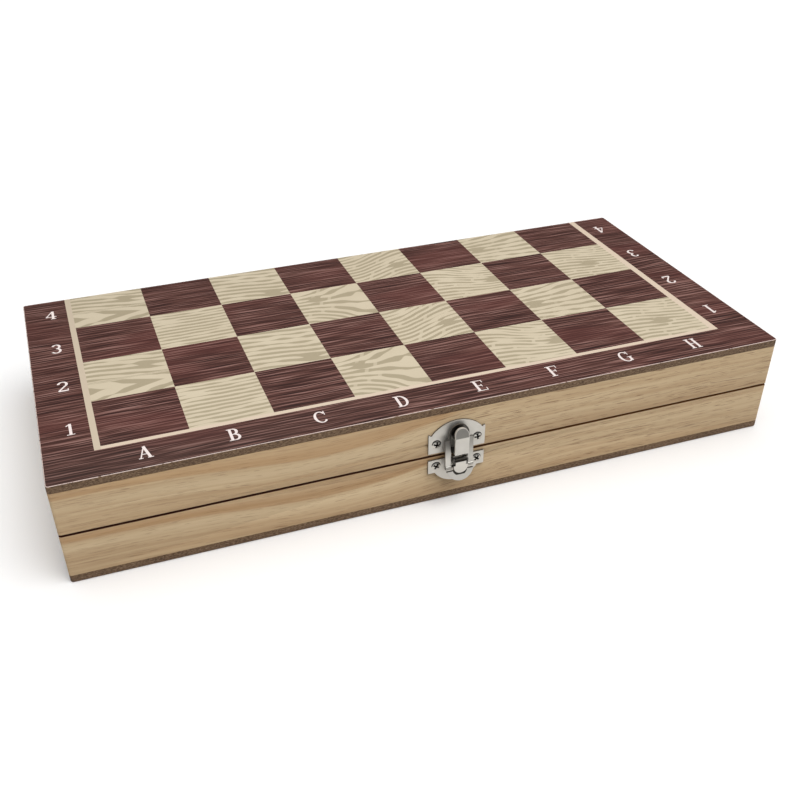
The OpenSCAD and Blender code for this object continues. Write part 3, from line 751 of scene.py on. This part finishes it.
LETTER_Y, LEFT_X, RIGHT_X, STEP = -0.292, -0.288, 8.333, 1.0137     # in squares
for half, ranks in (("upper", "1234"), ("lower", "8765")):
    bm = bmesh.new()
    outward = OUTWARD[half]
    base = OUTER_Z[half] - outward * INK_T
    turned = half == "lower"             # this half comes over as the box is opened flat
    for i, letter in enumerate("ABCDEFGH"):
        add_glyph(bm, letter, i * STEP + 0.452, LETTER_Y, turned, outward, base)
    for i, digit in enumerate(ranks):
        add_glyph(bm, digit, LEFT_X, i * STEP + 0.468, turned, outward, base)
        add_glyph(bm, digit, RIGHT_X, i * STEP + 0.47, not turned, outward, base)
    bmesh.ops.remove_doubles(bm, verts=bm.verts, dist=0.0001 * MM)
    bmesh.ops.recalc_face_normals(bm, faces=bm.faces)
    finished(f"{half}_coordinates", bm, f"{half}_half", [white_ink])
print("coordinates made")

# %% [markdown]
# The latch and the hinges are stamped from thin nickel-plated sheet.
# A press leaves a small round on every edge, which the same bevel gives at a smaller width.
# The pins stay hidden in their barrels, so the CAD solids are kept and only get their finish,
# which is painted dark as shade.


# %% Latch and hinges
LEAVES = [f"{side}_hinge_{half}_leaf" for side in ("left", "right") for half in ("lower", "upper")]
for node in [*nickel_of, *LEAVES]:
    bm = solid_copy(node)
    bm.normal_update()
    for face in bm.faces:                           # the cut edges have a duller finish and painted shade
        hook = node == "latch_keeper_plate" and face.calc_center_median().y < RAIL_Y - 1 * MM
        face.material_index = int(node in nickel_of and abs(face.normal.y) < 0.5 and not hook)
    round_edges(bm, (0.15 if node in nickel_of else 0.12) * MM)
    for face in bm.faces:                           # the rounding next to them has not
        face.material_index = int(face.material_index and face.calc_area() > 0.02 * MM * MM
                                  and abs(face.normal.y) < 0.4)
    finished(f"{node}_pressed", bm, BODY_OF[node],
             [nickel_of.get(node, bright_nickel), cut_nickel], [node], sharp=14)
for node in ("latch_lever_pin", "latch_loop_pin", "left_hinge_pin", "right_hinge_pin"):
    pin = frame["nodes"][node]
    pin.data.materials.clear()
    pin.data.materials.append(pin_nickel)
print("latch and hinges made")

# %% [markdown]
# Geometry Nodes build a shape from a rule, with its sizes as inputs, like a jig in a workshop.
# A tree is run on a small base mesh, and its result is kept as a plain mesh, which any program
# can read. The modifier's inputs go by the identifier of their socket and not by its name.


# %% Making and running a node tree
def new_tree(name, sockets):
    """An empty geometry tree, its Graph and its inputs by name."""
    tree = bpy.data.node_groups.new(name, "GeometryNodeTree")
    for label, kind in sockets:
        tree.interface.new_socket(label, in_out="INPUT", socket_type=f"NodeSocket{kind}")
    tree.interface.new_socket("Geometry", in_out="OUTPUT", socket_type="NodeSocketGeometry")
    graph = Graph(tree)
    entry = tree.nodes.new("NodeGroupInput")
    return tree, graph, {o.name: Value(graph, o) for o in entry.outputs if o.name}


def run_tree(name, tree, base, values):
    """Runs a tree on a base mesh, in millimetres, and gives the result back as a plain mesh."""
    source = bpy.data.objects.new(f"{name}_source", base)
    bpy.context.scene.collection.objects.link(source)
    modifier = source.modifiers.new("tree", "NODES")
    modifier.node_group = tree
    for item in tree.interface.items_tree:
        if item.in_out == "INPUT" and item.name in values:
            modifier[item.identifier] = values[item.name]
    bpy.context.view_layer.update()
    evaluated = source.evaluated_get(bpy.context.evaluated_depsgraph_get())
    plain = bpy.data.meshes.new_from_object(evaluated)
    bpy.data.objects.remove(source)
    return plain


# %% [markdown]
# Twelve screws are the same screw, so one node tree makes them all.
# It domes the top of a cylinder, cuts a cross into it and sets a copy on each point it is given.
# Each copy is turned by a random angle, because nobody lines screws up.
# Slot and rim are marked before that turn and darkened after it as painted shade, so the
# painted shadow, a dark crescent on the rim, stays on top.


# %% A screw as a node tree
def screw_tree():
    """Screws on the points of a mesh, in mm: each axis is along z and its head looks up."""
    tree, g, given = new_tree("screws", [
        ("Geometry", "Geometry"), ("Head radius", "Float"), ("Dome", "Float"),
        ("Slot width", "Float"), ("Seed", "Int"), ("Finish", "Material")])
    radius, dome, slot_width = (given[label] for label in ("Head radius", "Dome", "Slot width"))
    blank = g.node("GeometryNodeMeshCylinder", {"Vertices": 40, "Side Segments": 1,
                                                "Fill Segments": 8, "Radius": radius,
                                                "Depth": radius}, fill_type="NGON")
    x, y, z = g.split(g.node("GeometryNodeInputPosition"))
    rise = (1 - (x * x + y * y) / (radius * radius)) * dome * (z > 0) - radius * 0.46
    head = g.node("GeometryNodeSetPosition", {"Geometry": blank, "Offset": g.point(0.0, 0.0, rise)})
    bars = []
    top, slot_length = g.point(0.0, 0.0, dome + radius * 0.04), radius * 1.12
    for sides in ((slot_length, slot_width), (slot_width, slot_length)):
        bar = g.node("GeometryNodeMeshCube", {"Size": g.point(*sides, radius * 0.5)})
        bars.append(g.node("GeometryNodeTransform", {"Geometry": bar, "Translation": top}))
    head = g.node("GeometryNodeMeshBoolean", {"Mesh 1": head, "Mesh 2": bars},
                  operation="DIFFERENCE")
    off_axis = distance(x, y) / radius
    in_slot = x.magnitude().math("MINIMUM", y.magnitude()) < slot_width * 0.6
    # the slots and the rim are marked for the painted shade
    for label, value in (("painted_shading", in_slot * (off_axis < 0.68)), ("rim", off_axis > 0.84)):
        head = g.node("GeometryNodeStoreNamedAttribute", {"Geometry": head, "Name": label,
                                                          "Value": value}, data_type="FLOAT")
    turn = g.node("FunctionNodeRandomValue", {0: (0.0, 0.0, 0.0), 1: (0.0, 0.0, math.tau),
                                              "Seed": given["Seed"]}, data_type="FLOAT_VECTOR")
    copies = g.node("GeometryNodeInstanceOnPoints",
                    {"Points": given["Geometry"], "Instance": head,
                     "Rotation": g.node("FunctionNodeEulerToRotation", {0: turn})})
    solid = g.node("GeometryNodeRealizeInstances", {0: copies})
    slot, rim = (g.node("GeometryNodeInputNamedAttribute", {"Name": label}, data_type="FLOAT")
                 for label in ("painted_shading", "rim"))
    shade_paint = slot.most(rim * y.ease(-0.5, 0.4) * 0.93)      # painted shade: the slots, and a painted shadow crescent on top of the rim
    solid = g.node("GeometryNodeStoreNamedAttribute", {"Geometry": solid, "Name": "painted_shading",
                                                       "Value": shade_paint}, data_type="FLOAT")
    solid = g.node("GeometryNodeSetMaterial", {0: solid, "Material": given["Finish"]})
    g.node("NodeGroupOutput", {0: solid})
    return tree


screws = screw_tree()
print("screw tree:", len(screws.nodes), "nodes")

# %% [markdown]
# A tree works in millimetres about the origin, where its numbers are easy to read.
# Its result is made a plain mesh and then moved to its place by one matrix.
# The latch's screws look to the front. The hinges' are countersunk and look up or down.


# %% Screws in the latch and the hinges
def put_screws(node, piece, xs, place, values):
    """Sets a screw at each x, in metres, and puts them all in the place of a CAD node."""
    points = bpy.data.meshes.new(node)
    points.from_pydata([(x / MM, 0, 0) for x in xs], [], [])
    plain = run_tree(piece, screws, points, {**values, "Finish": bright_nickel})
    plain.transform(place @ Matrix.Scale(MM, 4))
    materials = list(plain.materials)
    bm = bmesh.new()
    bm.from_mesh(plain)
    bpy.data.meshes.remove(plain)
    print(piece, len(bm.faces), "faces")
    finished(piece, bm, BODY_OF[node], materials, [node])


for seed, plate in enumerate(("keeper", "base"), 3):
    node = f"latch_{plate}_screws"
    low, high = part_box(node)
    radius = (high.z - low.z) / 2
    under_head = low.y + 0.9 * MM
    place = (Matrix.Translation((0, under_head, (low.z + high.z) / 2))
             @ Matrix.Rotation(math.pi / 2, 4, "X"))
    put_screws(node, f"latch_{plate}_screw_heads", (low.x + radius, high.x - radius), place,
               {"Head radius": radius / MM, "Dome": 0.6, "Slot width": 0.62, "Seed": seed})
for seed, half in enumerate(("lower", "upper"), 8):
    node = f"{half}_hinge_screws"
    low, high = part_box(node)
    xs = []
    for side in ("left", "right"):
        leaf_low, leaf_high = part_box(f"{side}_hinge_{half}_leaf")
        middle, length = (leaf_low.x + leaf_high.x) / 2, leaf_high.x - leaf_low.x
        xs += [middle + part * length for part in (-0.3, 0.3)]
    up = half == "lower"
    place = Matrix.Translation((0, (low.y + high.y) / 2, high.z if up else low.z))
    if not up:
        place = place @ Matrix.Rotation(math.pi, 4, "X")
    put_screws(node, f"{half}_hinge_screw_heads", xs,
               place @ Matrix.Translation((0, 0, -0.12 * MM)),
               {"Head radius": (high.y - low.y) / 2 / MM, "Dome": 0.02, "Slot width": 0.4,
                "Seed": seed})

# %% [markdown]
# The chessmen are turned on a lathe: a chisel follows a drawn outline while the wood spins.
# One node tree does the same. It rounds the corners of the outline, spins it about the man's axis
# and then cuts notches: six in a rook's wall, eight in a queen's crown and one in a bishop's mitre.


# %% The lathe
def lathe_tree():
    """Spins an outline of radius and height about z, in mm, and cuts notches into the top."""
    tree, g, given = new_tree("lathe", [
        ("Geometry", "Geometry"), ("Segments", "Int"), ("Edge radius", "Float"),
        ("Notches", "Int"), ("Notch distance", "Float"), ("Notch height", "Float"),
        ("Notch size", "Vector"), ("Notch lean", "Vector")])
    bore = 0.05                                  # the outline is spun about a hair-thin circle
    curve = g.node("GeometryNodeMeshToCurve", {0: given["Geometry"]})
    curve = g.node("GeometryNodeFilletCurve", {"Curve": curve, "Count": 2, "Limit Radius": True,
                                               "Radius": given["Edge radius"]}, mode="POLY")
    radius, height, _ = g.split(g.node("GeometryNodeInputPosition"))
    drawn = g.point(radius - bore, height * -1)     # y of a swept outline points down
    curve = g.node("GeometryNodeSetPosition", {"Geometry": curve, "Position": drawn})
    circle = g.node("GeometryNodeCurvePrimitiveCircle", {"Radius": bore,
                                                         "Resolution": given["Segments"]})
    turned = g.node("GeometryNodeCurveToMesh", {"Curve": circle, "Profile Curve": curve})
    turned = g.node("GeometryNodeMergeByDistance", {"Geometry": turned, "Distance": 0.002})
    angle = g.node("GeometryNodeInputIndex") * math.tau / given["Notches"]
    away = given["Notch distance"]
    spot = g.point(angle.math("COSINE") * away, angle.math("SINE") * away, given["Notch height"])
    spots = g.node("GeometryNodePoints", {"Count": given["Notches"], "Position": spot})
    lean_x, lean_y, _ = g.split(given["Notch lean"])
    turn = g.node("FunctionNodeEulerToRotation", {0: g.point(lean_x, lean_y, angle)})
    cutter = g.node("GeometryNodeMeshCube", {"Size": given["Notch size"]})
    cutters = g.node("GeometryNodeInstanceOnPoints", {"Points": spots, "Instance": cutter,
                                                      "Rotation": turn})
    cutters = g.node("GeometryNodeRealizeInstances", {0: cutters})
    turned = g.node("GeometryNodeMeshBoolean", {"Mesh 1": turned, "Mesh 2": cutters},
                    operation="DIFFERENCE")
    g.node("NodeGroupOutput", {0: turned})
    return tree


lathe = lathe_tree()
print("lathe tree:", len(lathe.nodes), "nodes")

# %% [markdown]
# An outline is a list of radius and height in millimetres, from the foot's middle to the top.
# Foot, stem and collars are shared, as in a real set, so the men look like a family.
# r is the radius of the foot and h the height of the man, and both come from the CAD solid.


# %% The outlines of the men
SOLE_BEVEL = 0.5                                    # mm: the sole is smaller than the foot


def foot_and_stem(r, neck_r, neck_z, steps=6):
    """A moulded foot, and a stem that narrows quickly at first and then rises almost straight."""
    stem_r, stem_z = r - 1.9, 4.4
    foot = [(0, 0), (r - SOLE_BEVEL, 0), (r, SOLE_BEVEL), (r, 2.2), (r - 0.8, 3), (r - 0.8, 3.6),
            (stem_r, stem_z)]
    return foot + [(neck_r + (stem_r - neck_r) * (1 - i / steps) ** 2.4,
                    stem_z + (neck_z - stem_z) * i / steps) for i in range(1, steps + 1)]


def collar(r, z, t):
    """A ring of radius r and thickness t round the stem, from height z up."""
    return [(r - 0.5, z), (r, z + t * 0.3), (r, z + t * 0.7), (r - 0.5, z + t)]


def ball(z, r, start, steps=8):
    """A ball about height z, from start degrees above its middle to its top."""
    angles = [math.radians(start + (90 - start) * i / steps) for i in range(steps + 1)]
    return [(r * math.cos(a), z + r * math.sin(a)) for a in angles]


def pawn(r, h):
    head = 0.58 * r
    neck = h - 2 * head
    return (foot_and_stem(r, 2.3, neck - 0.9) + collar(4, neck - 0.9, 1.3)
            + [(2.2, neck + 0.5)] + ball(h - head, head, -55))


def rook(r, h):
    top, cup = 0.72 * r, h - 8
    wall, floor_z = top - 1.6, h - 2.6
    return (foot_and_stem(r, 4.1, cup - 1.6) + collar(5.6, cup - 1.6, 1.4)
            + [(top - 1, cup), (top, cup + 1.6), (top, h), (wall, h), (wall, floor_z),
               (0, floor_z)])


KNIGHT_SHELF = 12.5                                 # mm: the carved head stands on it


def knight_base(r, h):
    return (foot_and_stem(r, 5.6, KNIGHT_SHELF - 1.4)
            + collar(6.6, KNIGHT_SHELF - 1.4, 1.4) + [(0, KNIGHT_SHELF)])


def bishop(r, h):
    neck = h - 14
    low, top, steps = neck + 0.6, h - 2.6, 8
    mitre = []
    for i in range(steps + 1):
        t = i / steps
        swell = 1 - abs(t * 1.35 - 0.38) ** 2.2             # widest a little above its foot
        mitre.append((4.6 * swell * 0.98 + 0.1, low + (top - low) * t))
    return (foot_and_stem(r, 2.7, neck - 2.2) + collar(5.4, neck - 2.2, 1.3)
            + collar(4.4, neck - 0.9, 1.1) + [(2.9, neck + 0.3)] + mitre
            + ball(h - 1.5, 1.5, -60, 5))


def queen(r, h):
    neck, rim = h - 12.5, h - 3.6
    return (foot_and_stem(r, 2.9, neck - 2.6) + collar(6.2, neck - 2.6, 1.4)
            + collar(4.8, neck - 1.2, 1.2)
            + [(3, neck + 0.2), (3.4, neck + 3), (4.3, neck + 6), (5.6, rim), (4.7, rim + 0.3),
               (3.4, rim + 0.6), (2.2, rim + 1.2)] + ball(h - 1.6, 1.6, -50, 5))


def king(r, h):
    neck, rim = h - 19, h - 9.4
    return (foot_and_stem(r, 3.1, neck - 2.8) + collar(6.6, neck - 2.8, 1.5)
            + collar(5, neck - 1.3, 1.3)
            + [(3.2, neck + 0.2), (3.6, neck + 3), (4.5, neck + 6), (5.8, rim), (5.8, rim + 0.8),
               (4.6, rim + 1.9), (2.4, rim + 3.1), (1.6, rim + 3.6), (0, rim + 3.8)])


OUTLINES = {"pawn": pawn, "rook": rook, "knight": knight_base, "bishop": bishop,
            "queen": queen, "king": king}
NOTCHES = {
    "rook": lambda r, h: {"Notches": 6, "Notch distance": 0.72 * r, "Notch height": h,
                          "Notch size": (5, 1.8, 4.4)},
    "bishop": lambda r, h: {"Notches": 1, "Notch distance": 3.2, "Notch height": h - 4.2,
                            "Notch size": (0.8, 9.5, 8), "Notch lean": (0, math.radians(35), 0)},
    "queen": lambda r, h: {"Notches": 8, "Notch distance": 5.4, "Notch height": h - 3.1,
                           "Notch size": (4, 1.5, 1.5), "Notch lean": (math.radians(45), 0.5, 0)}}
print("outlines drawn:", len(OUTLINES))

# %% [markdown]
# Two shapes are not turned. The king's cross is whittled from two bars.
# A knight's head is sawn from a board and carved: its outline is lofted from cheek to cheek.
# Each layer is drawn in a little more towards the cheeks, and the mane is a row of small notches.


# %% The carved heads
def loft(bm, rings):
    """Joins rings of equally many points into a closed body."""
    rows = [[bm.verts.new(p) for p in ring] for ring in rings]
    for low, high in zip(rows, rows[1:]):
        for i in range(len(low)):
            j = (i + 1) % len(low)
            bm.faces.new((low[i], low[j], high[j], high[i]))
    bm.faces.new(rows[0])
    bm.faces.new(rows[-1])


def cut_corners(points, passes):
    """Rounds a closed outline: each pass cuts every corner off at a quarter of its sides."""
    for _ in range(passes):
        points = [a * (1 - t) + b * t for a, b in zip(points, points[1:] + points[:1])
                  for t in (0.25, 0.75)]
    return points


def horse(bm, h):
    """A horse's head: across in mm, up as a share of the height above the shelf."""
    chest = [(-4.9, -0.1), (4.6, -0.1), (5.9, 0.12), (4.6, 0.34), (2.2, 0.46)]
    muzzle = [(4.8, 0.47), (7.4, 0.4), (8.7, 0.5), (8.1, 0.64), (5, 0.8)]
    ears = [(4.2, 0.9), (2.9, 1.03), (1.9, 1.02), (1, 0.92)]
    neck = [(-2, 0.92), (-4.8, 0.75), (-5.8, 0.45)]
    smooth = cut_corners([Vector(p) for p in chest + muzzle + ears + neck], 3)
    tall = (h - KNIGHT_SHELF) / max(p.y for p in smooth)
    outline = [Vector((p.x, KNIGHT_SHELF + tall * p.y)) for p in smooth]
    normals = []
    for i in range(len(outline)):
        along = outline[(i + 2) % len(outline)] - outline[i - 2]
        normals.append(Vector((along.y, -along.x)).normalized())
    for i, p in enumerate(outline):
        if p.x < -1.6 and p.y > KNIGHT_SHELF + 0.15 * tall:                     # the mane
            outline[i] = p - normals[i] * 0.28 * (1 + math.sin(p.y * 3.1 - p.x * 1.6))
    rings = []
    layers, cheek = 9, 84                   # cheek: degrees from the middle to the last layer
    for k in range(layers):
        lean = math.radians(-cheek + 2 * cheek / (layers - 1) * k)
        inset, y = 1.7 * (1 - math.cos(lean)), 4 * math.sin(lean) / math.sin(math.radians(cheek))
        ring = []
        for p, out in zip(outline, normals):
            q = p - out * inset
            middle, limit = (0, 5.5) if q.y < KNIGHT_SHELF + 0.38 * tall else (1, 7.4)
            pull = min(1, limit / math.hypot(q.x - middle, y))      # keeps it on the round base
            ring.append((middle + (q.x - middle) * pull, y * pull, q.y))
        rings.append(ring)
    loft(bm, rings)
    for side in (-1, 1):                                            # the eyes
        eye = Matrix.Translation((4.3, side * 3.5, KNIGHT_SHELF + 0.72 * tall))
        bmesh.ops.create_icosphere(bm, subdivisions=2, radius=0.6, matrix=eye)


def cross(bm, h):
    """An upright and an arm, each a bar with rounded edges."""
    upright, arm = (-1, -0.9, h - 6.4, 1, 0.9, h), (-2.7, -0.9, h - 4.4, 2.7, 0.9, h - 2.4)
    for box in (upright, arm):
        low, high = Vector(box[:3]), Vector(box[3:])
        place = Matrix.Translation((low + high) / 2) @ Matrix.Diagonal((*(high - low), 1))
        bar = bmesh.new()
        bmesh.ops.create_cube(bar, size=1, matrix=place)
        round_edges(bar, 0.22)
        mesh = bpy.data.meshes.new("bar")
        bar.to_mesh(mesh)
        bar.free()
        bm.from_mesh(mesh)
        bpy.data.meshes.remove(mesh)


# %% [markdown]
# All men of a kind are alike, so each kind is made once and copied to where its men lie.
# The CAD model holds a plain solid for each man, on its side in a tray.
# That solid's largest upright face is the sole of the foot. From it come the man's axis, the
# radius of its foot and its height, so none of these is written down here a second time.


# %% The thirty-two men
def standing(kind, r, h):
    """One man in millimetres, on its foot at the origin."""
    points = OUTLINES[kind](r, h)
    outline = bpy.data.meshes.new(kind)
    outline.from_pydata([(x, z, 0) for x, z in points],
                        [(i, i + 1) for i in range(len(points) - 1)], [])
    notches = NOTCHES[kind](r, h) if kind in NOTCHES else {}
    turned = run_tree(kind, lathe, outline, {"Segments": 40, "Edge radius": 0.35, "Notches": 0,
                                             "Notch size": (1, 1, 1), **notches})
    bm = bmesh.new()
    bm.from_mesh(turned)
    bpy.data.meshes.remove(turned)
    if kind == "knight":
        horse(bm, h)
    if kind == "king":
        cross(bm, h)
    bmesh.ops.remove_doubles(bm, verts=bm.verts, dist=0.001)
    bmesh.ops.recalc_face_normals(bm, faces=bm.faces)
    return bm


def lying(node):
    """Where a man lies: a matrix from its own frame, and its foot's radius and height in mm."""
    bm = solid_copy(node)
    bm.normal_update()
    sole = max((f for f in bm.faces if abs(f.normal.y) > 0.9), key=lambda f: f.calc_area())
    axis, middle = -sole.normal.copy(), sole.calc_center_bounds()
    foot_radius = max((vert.co - middle).length for vert in sole.verts) / MM + SOLE_BEVEL
    height = max((vert.co - middle).dot(axis) for vert in bm.verts) / MM
    bm.free()
    right = Vector((1, 0, 0))
    turn = Matrix((right, axis.cross(right), axis)).transposed().to_4x4()
    return Matrix.Translation(middle) @ turn @ Matrix.Scale(MM, 4), foot_radius, height


made = {}
for node in frame["nodes"]:
    side = node.split("_")[0]
    if side not in wood_of:
        continue
    kind = next(k for k in OUTLINES if k in node.split("_"))
    place, foot_radius, height = lying(node)
    if kind not in made:
        size = round(foot_radius, 2), round(height, 2)
        bm = standing(kind, *size)
        made[kind] = bpy.data.meshes.new(kind)
        bm.to_mesh(made[kind])
        print(kind, "foot and height", size, "mm,", len(bm.faces), "faces,",
              sum(not e.is_manifold for e in bm.edges), "open edges")
        bm.free()
    bm = bmesh.new()
    bm.from_mesh(made[kind])
    bm.transform(place)
    finished(f"{node}_turned", bm, BODY_OF[node], [wood_of[side]], [node],
             sharp=40)

# %% [markdown]
# The studio is a pale floor under a soft sky, with one large lamp to the right of the camera.
# The sky shows pure white to the camera, but it lights the part mostly from above, so that the
# upright faces come out darker than the board.


# %% Floor and light
def studio_object(name, data):
    """An object for the studio, which is no piece of the part."""
    fixture = bpy.data.objects.new(name, data)
    bpy.context.scene.collection.objects.link(fixture)
    return fixture


REACH = 6.0                                         # m, half the width of the floor
floor_mesh = bpy.data.meshes.new("floor")
floor_mesh.from_pydata([(x, y, -0.2 * MM) for x, y in ((-REACH, -REACH), (REACH, -REACH),
                                                       (REACH, REACH), (-REACH, REACH))],
                       [], [(0, 1, 2, 3)])
floor_mesh.materials.append(material("floor_paper", lambda g: {"Base Color": grey(0.97),
                                                               "Roughness": 0.9}))
floor = studio_object("floor", floor_mesh)

world = bpy.data.worlds.new("studio")
bpy.context.scene.world = world
world.use_nodes = True
world.node_tree.nodes.clear()
g = Graph(world.node_tree)
_, _, up = g.split(g.node("ShaderNodeTexCoord", out="Generated"))
glow = up.ramp((0.0, grey(0.1)), (0.45, grey(0.2)), (0.68, grey(0.5)), (0.85, grey(1.25)),
               (1.0, grey(1.4)))
sky = g.node("ShaderNodeBackground", {"Color": glow, "Strength": 1.0})
white = g.node("ShaderNodeBackground", {"Color": grey(1.0), "Strength": 1.0})
seen = g.node("ShaderNodeLightPath", out="Is Camera Ray")
g.node("ShaderNodeOutputWorld", {0: g.node("ShaderNodeMixShader", {0: seen, 1: sky, 2: white})})


def aimed(place, ahead, up):
    """A matrix that stands at place, looks ahead and keeps up upright."""
    back = -Vector(ahead).normalized()
    right = Vector(up).cross(back).normalized()
    turn = Matrix((right, back.cross(right), back)).transposed().to_4x4()
    return Matrix.Translation(place) @ turn


lamp = bpy.data.lights.new("softbox", "SUN")
lamp.energy, lamp.angle = 1.5, math.radians(50)     # a wide angle makes the shadow soft
lamp_object = studio_object("softbox", lamp)
lamp_object.matrix_world = aimed(Vector((0.6, -0.5, 1.2)), (-0.42, 0.5, -1.0), (0, 0, 1))
print("floor, sky and lamp made")

# %% [markdown]
# The camera looks from about forty centimetres away, left of the middle and down by some
# thirty-six degrees, so the perspective is strong. Its place is given in squares of the board.
# The lens is shifted, as on a view camera, which moves the picture without turning the camera.

# %% Camera
camera_data = bpy.data.cameras.new("camera")
camera_data.sensor_width = 36
camera_data.lens = 43.61
camera_data.shift_x, camera_data.shift_y = 0.0092, 0.0957
camera_data.clip_start, camera_data.clip_end = 0.01, 100            # m
camera = studio_object("camera", camera_data)
eye = Vector((GRID_X + 0.076 * SQUARE, GRID_Y - 9.535 * SQUARE, TOP_Z + 6.14 * SQUARE))
camera.matrix_world = aimed(eye, (0.27, 0.7585, -0.5932), (0.2072, 0.5558, 0.8051))
bpy.context.scene.camera = camera
bpy.context.scene.view_settings.view_transform = "Standard"
print("camera at", [round(v, 3) for v in eye])
